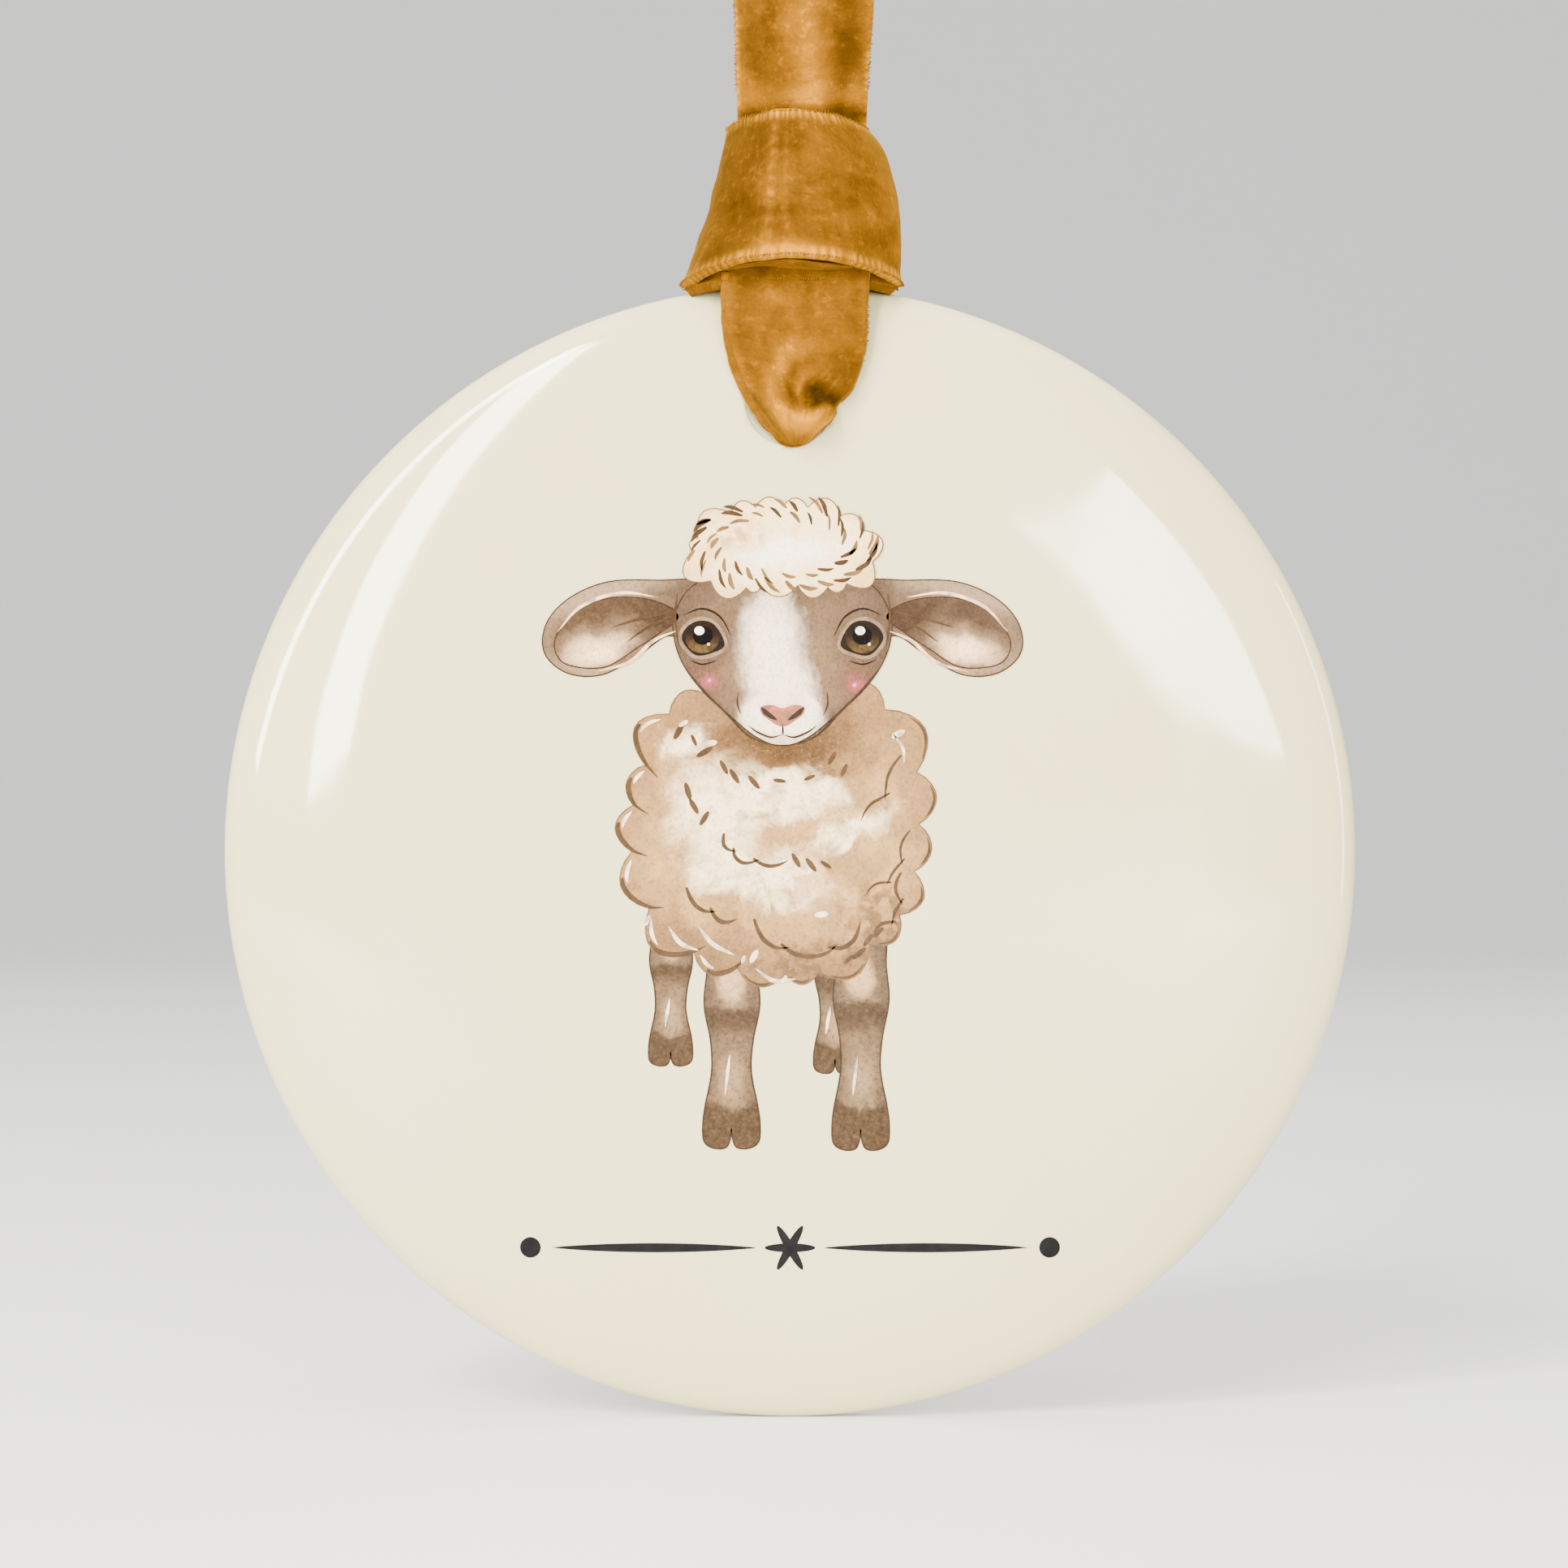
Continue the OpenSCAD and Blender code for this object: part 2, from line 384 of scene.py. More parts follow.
def curls(loop, count, swell, seed=1):
    """A woolly edge: the closed line broken into round curls that swell outwards."""
    rng = random.Random(seed)
    lengths = [(b - a).length for a, b in zip(loop, loop[1:] + loop[:1])]
    whole = sum(lengths)
    cuts = [(i + rng.uniform(-0.3, 0.3)) / count for i in range(count)]
    middle = sum(loop, Vector((0, 0))) / len(loop)

    def at(share):
        rest = (share % 1.0) * whole
        for i, length in enumerate(lengths):
            if rest <= length:
                return loop[i].lerp(loop[(i + 1) % len(loop)], rest / length)
            rest -= length
        return loop[0]

    line = []
    for i, start in enumerate(cuts):
        end = cuts[(i + 1) % count] + (1 if i == count - 1 else 0)
        a, b = at(start), at(end)
        out = Vector(((b - a).y, -(b - a).x)).normalized()
        if out.dot((a + b) / 2 - middle) < 0:
            out = -out
        height = swell * (end - start) * count
        for s in range(8):
            t = s / 8
            line.append(at(start + (end - start) * t) + out * height * math.sin(math.pi * t) ** 0.8)
    return line


def swollen(outline, by):
    """The closed outline, moved outwards all round."""
    points = [Vector(p) for p in outline]
    after, before = points[1:] + points[:1], points[-1:] + points[:-1]
    area = sum(a.x * b.y - b.x * a.y for a, b in zip(points, after))
    grown = []
    for p, a, b in zip(points, after, before):
        ahead = (a - b).normalized()
        grown.append(p + Vector((ahead.y, -ahead.x)) * math.copysign(by, area))
    return grown


class Sheet:
    """Flat painted shapes that lie on the disc's face, one level above another."""

    level_h = 0.02
    root_d = 0.04

    def __init__(self, level, middle_x=0.0):
        self.bm = bmesh.new()
        self.level = level
        self.middle_x = middle_x

    def shape(self, outline):
        """Adds a closed outline of (x, z) points, measured from the middle of the disc."""
        corners = []
        for x, z in outline:
            x, z = x + self.middle_x, z + DISC_Z
            corners.append(self.bm.verts.new((x, face_y(x, z) + self.root_d, z)))
        face = self.bm.faces.new(corners)
        grown = bmesh.ops.extrude_face_region(self.bm, geom=[face])
        lifted = [v for v in grown["geom"] if isinstance(v, bmesh.types.BMVert)]
        height = self.root_d + self.level * self.level_h
        bmesh.ops.translate(self.bm, vec=(0, -height, 0), verts=lifted)
        return self

    def stroke(self, points, width, blunt=0.0, steps=8):
        """Adds a brush stroke along the points, thin at its ends; blunt keeps the first end wide."""
        line = smooth_path(points, steps)
        left, right = [], []
        last = len(line) - 1
        for i, p in enumerate(line):
            ahead = (line[min(i + 1, last)] - line[max(i - 1, 0)]).normalized()
            t = i / last
            half = width / 2 * max(0.06, math.sin(math.pi * (blunt + (1 - blunt) * t)) ** 0.7)
            across = Vector((-ahead.y, ahead.x)) * half
            left.append(p + across)
            right.append(p - across)
        return self.shape(left + right[::-1])

    def dot(self, x, z, rx, rz=None, turn=0.0):
        rz = rz or rx
        c, s = math.cos(math.radians(turn)), math.sin(math.radians(turn))
        ring = [(rx * math.cos(a), rz * math.sin(a))
                for a in (math.tau * i / 20 for i in range(20))]
        return self.shape([(x + u * c - v * s, z + u * s + v * c) for u, v in ring])

    def done(self, name, paint, stands_for=(), slot="skin_print"):
        bmesh.ops.triangulate(self.bm, faces=[f for f in self.bm.faces if len(f.verts) > 4])
        bmesh.ops.recalc_face_normals(self.bm, faces=self.bm.faces)
        return piece(name, self.bm, [paint], "disc", stands_for, smooth=False)


# ---- painted lamb: water colours ------------------------------------------------

LAMB_X = -0.5


class Wash(Paint):
    """A water colour under the glaze, with x and z measured from the lamb's own line."""

    def __init__(self, name, wander=0.25):
        super().__init__(name, roughness=0.12, ior=1.52)
        self.set("Specular IOR Level", 0.1)
        self.where = self.place()
        x, _, z = self.parts_of(self.where)
        self.x = x - LAMB_X + (self.blotch(0.45, 0.3, 0.7, 21.0) - 0.5) * wander
        self.z = z - DISC_Z + (self.blotch(0.5, 0.3, 0.7, 37.0) - 0.5) * wander
        self.colour = None

    def far(self, x, z, rx, rz, turn=0.0):
        """0 in the middle of an ellipse, 1 on its edge and more outside it."""
        dx, dz = self.x - x, self.z - z
        c, s = math.cos(math.radians(turn)), math.sin(math.radians(turn))
        along, across = (dx * c + dz * s) / rx, (dz * c - dx * s) / rz
        return (along * along + across * across).root()

    def patch(self, x, z, rx, rz, soft=0.5, turn=0.0):
        """A soft round patch: 1 inside, fading out over a share of its size."""
        return 1 - self.far(x, z, rx, rz, turn).rise(1 - soft, 1 + soft)

    def over(self, mask, red, green, blue):
        self.colour = self.mix(mask, self.colour, shade_of(red, green, blue))

    def blotch(self, scale, low, high, seed=0.0):
        moved = self.node("ShaderNodeVectorMath", {"operation": "ADD"},
                          {0: self.where, 1: (seed, seed * 1.7, seed * 0.6)})
        return self.noise(moved, scale, 3.0, 0.55, 0.6).rise(low, high)

    def dry(self, grain=0.35):
        """Adds the pigment's grain and the paper's tooth, and closes the material."""
        tooth = self.noise(self.where, 4.2, 2.0, 0.7)
        self.colour = self.mix(tooth.rise(0.45, 0.75) * grain, self.colour,
                               self.mix(1.0, self.colour, (0.45, 0.38, 0.32, 1.0), "MULTIPLY"))
        self.colour = self.mix((1 - tooth).rise(0.5, 0.8) * grain * 0.12, self.colour,
                               self.mix(0.5, self.colour, shade_of(244, 232, 218)))
        self.set("Base Color", self.colour)
        self.set("Roughness", 0.1 + 0.05 * tooth)
        return self.material


def plain_wash(name, red, green, blue, grain=0.3):
    wash = Wash(name)
    wash.colour = wash.mix(wash.blotch(0.9, 0.35, 0.7), shade_of(red, green, blue),
                           shade_of(red * 0.86, green * 0.84, blue * 0.82))
    return wash.dry(grain)


def fleece_wash():
    wash = Wash("wash_fleece", 1.3)
    wash.colour = wash.mix(wash.blotch(0.35, 0.35, 0.65), shade_of(226, 205, 176),
                           shade_of(214, 190, 156))
    edge = wash.far(-0.2, 0.9, 10.6, 10.6).rise(0.70, 1.05)
    wash.over(edge * 0.75, 204, 172, 136)
    wash.over((-wash.z).rise(2.5, 8.5) * 0.8, 198, 164, 126)
    wash.over(wash.patch(-0.2, 8.4, 6.4, 3.4, 0.5) * 0.85, 196, 158, 122)
    wash.over(wash.patch(0.2, 7.2, 4.4, 2.1, 0.8) * 0.95, 150, 108, 70)
    lights = (wash.patch(-4.6, 2.4, 2.6, 2.8, 0.6, 20) + wash.patch(0.4, 3.6, 3.6, 1.5, 0.45)
              + wash.patch(-1.4, -1.7, 4.4, 1.7, 0.4, -10) + wash.patch(4.6, 1.4, 2.8, 0.8, 0.6, 24)
              + wash.patch(-6.6, 7.2, 1.6, 1.0, 0.7, 30))
    wash.over(lights.least(1.0) * (0.6 + 0.4 * wash.blotch(0.8, 0.35, 0.55, 7.0)), 251, 246, 236)
    wash.over(wash.patch(0.9, 1.3, 2.6, 0.7, 0.3, -4) * wash.blotch(1.0, 0.4, 0.5, 3.0) * 0.8,
              224, 196, 168)
    wash.over(wash.patch(2.0, -2.2, 2.2, 0.8, 0.3, 20) * 0.6, 226, 199, 172)
    wash.over(wash.blotch(0.6, 0.60, 0.64, 11.0) * 0.3, 200, 164, 128)
    wash.over(wash.patch(6.6, -4.6, 2.2, 2.4, 0.6) * wash.blotch(1.2, 0.4, 0.6, 5.0) * 0.75,
              168, 128, 90)
    wash.over(wash.patch(2.4, -7.4, 4.6, 1.5, 0.5) * wash.blotch(1.1, 0.4, 0.6, 15.0) * 0.75,
              170, 130, 92)
    wash.over(wash.patch(-6.2, -6.0, 3.0, 1.2, 0.7, -34) * 0.55, 182, 143, 106)
    fine = wash.noise(wash.joined(wash.x * 1.1, 0.0, wash.z * 1.9), 2.2, 4.0, 0.65, 0.8)
    wash.over(fine.rise(0.52, 0.72) * 0.3, 190, 154, 118)
    wash.over((1 - fine).rise(0.54, 0.7) * 0.18, 236, 220, 198)
    return wash.dry(0.5)


def jaw_share(wash):
    """How far out a point of the face is, as a share of the face's half width there."""
    height = (wash.z - 7.0) / 12.0
    half = wash.grey(height, [(0.0, 0.09), (0.17, 0.44), (0.3, 0.64), (0.45, 0.83), (0.63, 0.92),
                              (0.82, 0.88), (1.0, 0.62)]) * 8.0
    return abs(wash.x) / half


def face_wash():
    wash = Wash("wash_face", 0.35)
    share = jaw_share(wash)
    wash.colour = wash.mix(wash.blotch(0.5, 0.35, 0.7), shade_of(180, 151, 122),
                           shade_of(164, 134, 104))
    wash.over(share.rise(0.6, 1.0) * 0.85, 142, 112, 88)
    wash.over(wash.z.rise(15.8, 18.4) * 0.55, 150, 121, 98)
    for side in (-1, 1):
        wash.over(wash.patch(side * 3.0, 12.2, 0.9, 2.6, 0.8, side * 14) * 0.4, 206, 182, 156)
        wash.over(wash.patch(side * 5.3, 14.2, 2.3, 2.0, 0.5) * 0.5, 152, 123, 99)
        wash.over(wash.patch(side * 4.9, 11.2, 1.6, 1.1, 0.9) * 0.7, 182, 138, 112)
        wash.over(wash.patch(side * 4.95, 11.15, 0.6, 0.42, 0.9) * 0.7, 226, 152, 158)
        wash.over(wash.patch(side * 4.95, 11.2, 0.11, 0.11, 0.6), 248, 206, 214)
    stripe = wash.grey((wash.z - 8.0) / 10.0, [(0.0, 0.25), (0.2, 0.21), (0.5, 0.175), (0.78, 0.15),
                                              (0.92, 0.06), (1.0, 0.0)]) * 10.0
    hairs = wash.noise(wash.joined(wash.x * 1.2, 0.0, wash.z * 0.5), 2.6, 2.0) - 0.5
    slant = wash.z.rise(9.5, 14.5) * 0.75
    inside = (stripe - abs(wash.x + slant) + hairs * 0.9).rise(-1.1, 1.0)
    muzzle = wash.patch(0.0, 9.05, 2.75, 1.9, 0.12)
    wash.over(inside.most(muzzle) * 0.96, 250, 246, 240)
    wash.over((inside - 0.5) * wash.z.rise(14.0, 17.0) * 0.7, 214, 198, 182)
    wash.over(wash.patch(0.0, 7.4, 2.4, 0.5, 0.6) * 0.4, 216, 190, 166)
    wash.over((muzzle - wash.patch(0.0, 9.1, 2.5, 1.6, 0.35)) * wash.z.rise(10.4, 9.0) * 0.45,
              205, 178, 152)
    for side in (-1, 1):
        wash.over(wash.patch(side * 0.95, 9.9, 0.7, 0.9, 0.9) * 0.3, 222, 204, 190)
    fine = wash.noise(wash.joined(wash.x * 2.4, 0.0, wash.z * 0.7), 2.4, 3.0, 0.6)
    wash.over(fine.rise(0.5, 0.68) * (1 - muzzle) * 0.28, 142, 110, 82)
    wash.over((1 - fine).rise(0.52, 0.7) * 0.14, 214, 192, 168)
    return wash.dry(0.45)


def ear_wash(name, side, inner):
    wash = Wash(name, 0.5)
    out = side * wash.x
    if inner:
        wash.colour = wash.mix(wash.blotch(0.8, 0.3, 0.7), shade_of(150, 117, 88),
                               shade_of(130, 97, 70))
        wash.over(wash.patch(side * 12.0, 13.7, 2.6, 1.1, 0.8, side * -14), 206, 184, 160)
        wash.over(wash.patch(side * 12.2, 13.4, 1.7, 0.65, 0.9, side * -14), 240, 231, 219)
        wash.over((1 - out.rise(8.0, 10.6)) * 0.85, 116, 84, 60)
        ray = ((wash.z - 13.0) / (out - 5.0).most(0.5) * 11.0 + wash.blotch(0.9, 0.2, 0.8, 9.0) * 1.5)
        wash.over(ray.sine().rise(0.4, 1.0) * (1 - out.rise(9.0, 12.5)) * 0.5, 98, 70, 50)
    else:
        wash.colour = wash.mix(wash.blotch(0.6, 0.3, 0.7), shade_of(186, 159, 131),
                               shade_of(168, 139, 110))
        wash.over((1 - out.rise(6.4, 9.2)) * 0.85, 146, 117, 93)
        wash.over(wash.patch(side * 12.0, 17.2, 4.2, 0.8, 0.8, side * -16) * 0.6, 216, 200, 182)
        wash.over(wash.patch(side * 12.4, 12.1, 3.2, 0.6, 0.8, side * 8) * 0.5, 214, 198, 178)
    fine = wash.noise(wash.joined(wash.x * 0.8, 0.0, wash.z * 2.0), 2.4, 3.0, 0.6)
    wash.over(fine.rise(0.5, 0.7) * 0.25, 140, 106, 78)
    return wash.dry(0.5)


def leg_wash(name, x, foot, tall, girth):
    """Taupe leg: a pale shin and knee, a dark cuff below the knee and a dark hoof."""
    wash = Wash(name, 0.2)
    up, across = (wash.z - foot) / tall, (wash.x - x) / girth
    wash.colour = wash.mix(wash.blotch(0.9, 0.3, 0.7), shade_of(190, 164, 133),
                           shade_of(174, 146, 114))
    wash.over(abs(across).rise(0.4, 1.0) * 0.75, 146, 115, 86)
    ragged = wash.noise(wash.where, 1.6, 3.0) * 0.06 - 0.03
    cuff = (up + ragged).rise(0.46, 0.60) * (up + ragged).rise(0.675, 0.635)
    wash.over(cuff * 0.9, 122, 90, 60)
    knee = (1 - ((across * across * 2.2 + ((up - 0.77) / 0.11) * ((up - 0.77) / 0.11)).root())
            .rise(0.45, 1.1))
    wash.over(knee * 0.85, 228, 213, 192)
    shin = 1 - ((across * across * 3.0 + ((up - 0.31) / 0.13) * ((up - 0.31) / 0.13)).root()
                ).rise(0.3, 1.3)
    wash.over(shin * 0.5, 216, 197, 172)
    wash.over(up.rise(0.84, 1.02) * 0.85, 132, 101, 76)
    hoof = (up + ragged + abs(across) * -0.05).rise(0.185, 0.145)
    wash.over(hoof * 0.95, 126, 92, 60)
    wash.over(hoof * wash.blotch(1.8, 0.5, 0.7, 5.0) * 0.4, 160, 126, 92)
    return wash.dry(0.7)


def cap_wash():
    wash = Wash("wash_cap", 0.9)
    wash.colour = wash.mix(wash.blotch(0.7, 0.35, 0.7), shade_of(247, 241, 229),
                           shade_of(242, 232, 214))
    wash.over(wash.far(0.0, 20.4, 6.6, 3.2).rise(0.8, 1.15) * 0.5, 228, 210, 182)
    wash.over(wash.patch(-3.2, 20.8, 1.8, 1.4, 0.5) * wash.blotch(0.9, 0.4, 0.6, 3.0) * 0.6,
              216, 188, 154)
    wash.over(wash.patch(0.6, 19.8, 3.4, 0.9, 0.6, 6) * 0.9, 253, 250, 245)
    return wash.dry(0.35)


def iris_wash(side):
    wash = Wash("wash_iris_right" if side > 0 else "wash_iris_left", 0.0)
    wash.colour = shade_of(92, 66, 42)
    wash.over(wash.patch(side * 5.35, 13.45, 1.05, 0.5, 0.7) * wash.blotch(2.6, 0.2, 0.7), 158, 128, 84)
    wash.over(wash.z.rise(13.9, 14.7) * 0.85, 46, 33, 24)
    return wash.dry(0.3)


# ---- painted lamb: shapes -------------------------------------------------------

FACE = both_sides([(0, 18.7), (-3.4, 18.6), (-6.0, 17.6), (-7.15, 15.7), (-7.15, 14.1),
                   (-6.7, 12.7), (-5.95, 11.5), (-5.05, 10.45), (-4.15, 9.65), (-3.35, 8.95),
                   (-2.6, 8.3), (-1.8, 7.7), (-0.85, 7.22), (0, 7.1)])
EAR = [(5.6, 17.9), (8.2, 18.0), (11.6, 17.9), (14.2, 16.8), (15.7, 15.1), (15.8, 13.2),
       (14.3, 11.9), (12.0, 11.8), (9.6, 13.1), (7.9, 14.3), (6.6, 14.5), (5.4, 16.0)]
EAR_INSIDE = [(6.9, 15.7), (8.8, 16.7), (11.6, 16.8), (13.9, 15.8), (15.1, 14.1), (14.8, 12.8),
              (13.6, 12.3), (11.7, 12.35), (9.8, 13.5), (8.0, 14.7)]
FLEECE = [(-5.2, 10.0), (-8.3, 8.4), (-9.2, 5.2), (-10.1, 1.6), (-9.3, -2.6), (-7.6, -5.6),
          (-4.6, -7.2), (-1.0, -8.0), (2.6, -7.9), (6.0, -6.0), (8.2, -3.4), (8.9, 0.6),
          (9.0, 4.6), (7.8, 8.0), (5.4, 10.2), (0.0, 10.4)]
CAP = both_sides([(0, 22.9), (-3.0, 22.6), (-5.2, 21.3), (-6.0, 19.6), (-5.1, 18.2),
                  (-2.6, 17.6), (0, 17.9)])


def leg_outline(x, foot, top, girth):
    """A leg seen from the front: thigh, knee, shin and a cloven hoof."""
    tall = top - foot
    side = [(0.84, 1.0), (0.98, 0.82), (1.09, 0.70), (1.04, 0.62), (0.84, 0.51), (0.74, 0.39),
            (0.82, 0.30), (1.0, 0.20), (1.10, 0.11), (1.06, 0.03), (0.72, 0.0), (0.27, 0.0),
            (0.10, 0.03), (0.03, 0.085)]
    right = [(x + girth * w, foot + tall * h) for w, h in side]
    left = [(x - girth * w * (0.96 if h > 0.4 else 1.0), foot + tall * h) for w, h in side]
    return right + left[::-1]


LEGS = {"hind_left": (-7.45, -14.2, -4.0, 1.28), "hind_right": (3.5, -14.7, -5.0, 1.25),
        "fore_left": (-3.4, -19.7, -5.5, 1.68), "fore_right": (5.2, -19.8, -5.0, 1.68)}


def paint_legs(far_lines, near_lines):
    """The four legs, the hind pair a level below the fore pair."""
    for name, (x, foot, top, girth) in LEGS.items():
        far = name.startswith("hind")
        outline = smooth_loop(leg_outline(x, foot, top, girth), 5)
        Sheet(1 if far else 2, LAMB_X).shape(outline).done(
            f"painted_leg_{name}", leg_wash(f"wash_{name}", x, foot, top - foot, girth),
            ["print_legs"] if name == "fore_left" else ())
        (far_lines if far else near_lines).shape(swollen(outline, 0.11))


def paint_ears(head_lines, dark):
    for side, word in ((-1, "left"), (1, "right")):
        outline = smooth_loop([(side * x, z) for x, z in EAR])
        Sheet(4, LAMB_X).shape(outline).done(
            f"painted_ear_{word}", ear_wash(f"wash_ear_{word}", side, False),
            ["print_ears"] if side < 0 else ())
        head_lines.shape(swollen(outline, 0.09))
        inside = smooth_loop([(side * x, z) for x, z in EAR_INSIDE])
        Sheet(5, LAMB_X).shape(inside).done(f"painted_ear_inside_{word}",
                                            ear_wash(f"wash_ear_inside_{word}", side, True))
        Sheet(4.6, LAMB_X).shape(swollen(inside, 0.09)).done(f"painted_ear_fold_{word}", dark)


def make_lamb():
    dark = plain_wash("wash_dark_outline", 112, 80, 54, 0.4)
    tan = plain_wash("wash_tan_outline", 190, 154, 116, 0.4)
    far_lines, near_lines, head_lines = (Sheet(n, LAMB_X) for n in (0.6, 1.6, 3.6))
    paint_legs(far_lines, near_lines)
    fleece = curls(smooth_loop(FLEECE), 19, 1.05, 4)
    Sheet(3, LAMB_X).shape(fleece).done("painted_fleece", fleece_wash(), ["print_fleece"],
                                      "fleece_print")
    Sheet(2.6, LAMB_X).shape(swollen(fleece, 0.1)).done("painted_fleece_edge", tan)
    paint_ears(head_lines, dark)
    outline = smooth_loop(FACE)
    Sheet(5, LAMB_X).shape(outline).done("painted_face", face_wash(), ["print_face"])
    Sheet(4.7, LAMB_X).shape(swollen(outline, 0.09)).done("painted_face_edge", dark)
    wool = curls(smooth_loop(CAP), 15, 0.7, 9)
    Sheet(6, LAMB_X).shape(wool).done("painted_wool_cap", cap_wash(), ["print_wool_cap"],
                                      "wool_print")
    Sheet(5.6, LAMB_X).shape(swollen(wool, 0.08)).done("painted_cap_edge", tan)
    far_lines.done("painted_far_outlines", dark)
    near_lines.done("painted_near_outlines", dark)
    head_lines.done("painted_head_outlines", dark)
    make_eyes()
    make_muzzle()
    make_strokes(fleece)


def make_eyes():
    lids, lines, sparks = (Sheet(n, LAMB_X) for n in (6, 7, 10))
    for side in (-1, 1):
        x, z = side * 5.35, 14.2
        lids.shape(smooth_loop([(x - side * 1.7, z - 0.5), (x - side * 1.05, z + 0.95),
                                (x + side * 0.1, z + 1.42), (x + side * 1.2, z + 0.9),
                                (x + side * 1.55, z - 0.2), (x + side * 0.6, z - 1.36),
                                (x - side * 0.8, z - 1.24)]))
        lines.shape(smooth_loop([(x - side * 1.5, z - 0.45), (x - side * 0.85, z + 0.85),
                                 (x + side * 0.1, z + 1.16), (x + side * 1.0, z + 0.75),
                                 (x + side * 1.34, z - 0.1), (x + side * 0.5, z - 1.12),
                                 (x - side * 0.6, z - 1.02)]))
        iris = Sheet(8, LAMB_X).dot(x - side * 0.02, z - 0.02, 1.13, 1.0)
        iris.done("painted_iris_right" if side > 0 else "painted_iris_left", iris_wash(side))
        sparks.dot(x - 0.18, z + 0.48, 0.33, 0.29).dot(x + 0.42, z - 0.42, 0.09)
        lines.stroke([(x - side * 1.95, z + 0.1), (x - side * 1.2, z + 1.4), (x, z + 1.95),
                      (x + side * 1.3, z + 1.5)], 0.13)
        lines.stroke([(x - side * 1.0, z - 1.5), (x, z - 1.75), (x + side * 0.9, z - 1.45)], 0.1)
    pupils = Sheet(9, LAMB_X)
    for side in (-1, 1):
        pupils.dot(side * 5.3, 14.36, 0.66, 0.62)
    lids.done("painted_eyelids", plain_wash("wash_eyelid", 200, 178, 154, 0.45))
    lines.done("painted_eye_lines", plain_wash("wash_eye_line", 62, 45, 33, 0.2))
    pupils.done("painted_pupils", plain_wash("wash_pupil", 26, 19, 15, 0.1))
    sparks.done("painted_eye_sparks", plain_wash("wash_spark", 252, 250, 246, 0.0))


def make_muzzle():
    nose = Sheet(6, LAMB_X).shape(smooth_loop(both_sides(
        [(0, 9.55), (-0.75, 9.75), (-1.45, 9.6), (-1.35, 9.1), (-0.7, 8.6), (-0.3, 8.35), (0, 8.3)])))
    nose.done("painted_nose", plain_wash("wash_nose", 226, 178, 158, 0.35))
    lines = Sheet(7, LAMB_X)
    for side in (-1, 1):
        lines.stroke([(side * 1.45, 9.6), (side * 1.0, 9.15), (side * 0.35, 8.72)], 0.34)
        lines.stroke([(side * 0.05, 7.75), (side * 0.8, 7.6), (side * 1.7, 7.95), (side * 2.3, 8.4)],
                     0.14)
        lines.stroke([(side * 2.95, 10.6), (side * 3.0, 9.8), (side * 2.7, 9.0)], 0.1)
        lines.stroke([(side * 6.3, 12.0), (side * 5.0, 10.45), (side * 3.7, 9.15), (side * 2.4, 7.8),
                      (side * 1.0, 7.12)], 0.14)
    lines.stroke([(0, 8.4), (0.03, 8.05), (0, 7.7)], 0.13)
    lines.done("painted_muzzle_lines", plain_wash("wash_muzzle_line", 104, 80, 66, 0.25))


def arc_row(points, curls_n, swell, overlap=0.12):
    """Strokes round the curls of a tuft row: each an arc that swells below the line."""
    line = smooth_path(points, 12)
    rows = []
    for i in range(curls_n):
        start = max(0.0, (i - overlap) / curls_n)
        end = min(1.0, (i + 1 + overlap) / curls_n)
        arc = []
        for k in range(5):
            share = start + (end - start) * k / 4
            place = share * (len(line) - 1)
            low = min(int(place), len(line) - 2)
            p = line[low].lerp(line[low + 1], place - low)
            ahead = (line[low + 1] - line[low]).normalized()
            below = Vector((ahead.y, -ahead.x))
            arc.append(p + below * swell * math.sin(math.pi * k / 4))
        rows.append(arc)
    return rows


def edge_strokes(wool, brown, pale):
    """Shadow and light along the fleece's curls: strong on its left, fine on its right."""
    for i in range(0, len(wool), 8):
        arc = wool[i:i + 8] + [wool[(i + 8) % len(wool)]]
        middle = arc[4]
        inward = (Vector((-0.3, 0.8)) - middle).normalized()
        if middle.x < -4.5 and middle.y < 8.5:
            lower = [p + inward * 0.12 for p in arc[3:]]
            tail = lower[-1] + inward * 0.9 + Vector((0, -0.25))
            brown.stroke([tuple(p) for p in lower + [tail]], 0.36, 0.1, 4)
            upper = [p + inward * 0.42 for p in arc[1:5]]
            pale.stroke([tuple(p) for p in upper], 0.26, 0.0, 4)
        elif middle.y < 8.5:
            near = [p + inward * 0.1 for p in arc[1:7]]
            brown.stroke([tuple(p) for p in near], 0.17, 0.0, 4)


WOOL_ARCS = [([(-6.4, -2.4), (-4.6, -3.9), (-3.0, -4.5)], 2, 0.5, 0.3),
             ([(-1.9, -4.5), (0.2, -6.3), (3.4, -6.3), (5.2, -4.6)], 3, 0.5, 0.3),
             ([(-3.9, 1.2), (-2.6, -0.3), (0.4, -0.6)], 3, 0.45, 0.26),
             ([(7.9, 6.4), (7.0, 3.6), (5.2, 2.0)], 2, 0.5, 0.2),
             ([(8.5, 1.4), (7.7, -1.6), (5.5, -3.0)], 3, 0.4, 0.18),
             ([(7.9, -1.4), (7.9, -4.2), (6.0, -5.8)], 3, 0.45, 0.24)]
BROWN_DASHES = [(-3.9, 5.6, -62), (-3.2, 5.0, -58), (-1.9, 4.6, -50), (-0.2, 4.7, -8),
                (1.8, 4.9, 22), (3.3, 6.2, 60), (4.1, 5.4, 66), (-6.3, 4.0, -74),
                (-5.9, 3.0, -60), (-5.2, 2.2, 58), (0.9, -0.6, -60), (1.9, -0.9, -52),
                (2.9, -0.9, -34), (5.7, -5.9, 54), (6.4, -5.4, 50), (-6.9, 8.0, 60),
                (-5.9, 7.4, -66), (-5.2, 6.6, 30), (4.4, -7.2, 44), (5.1, -6.8, 40)]
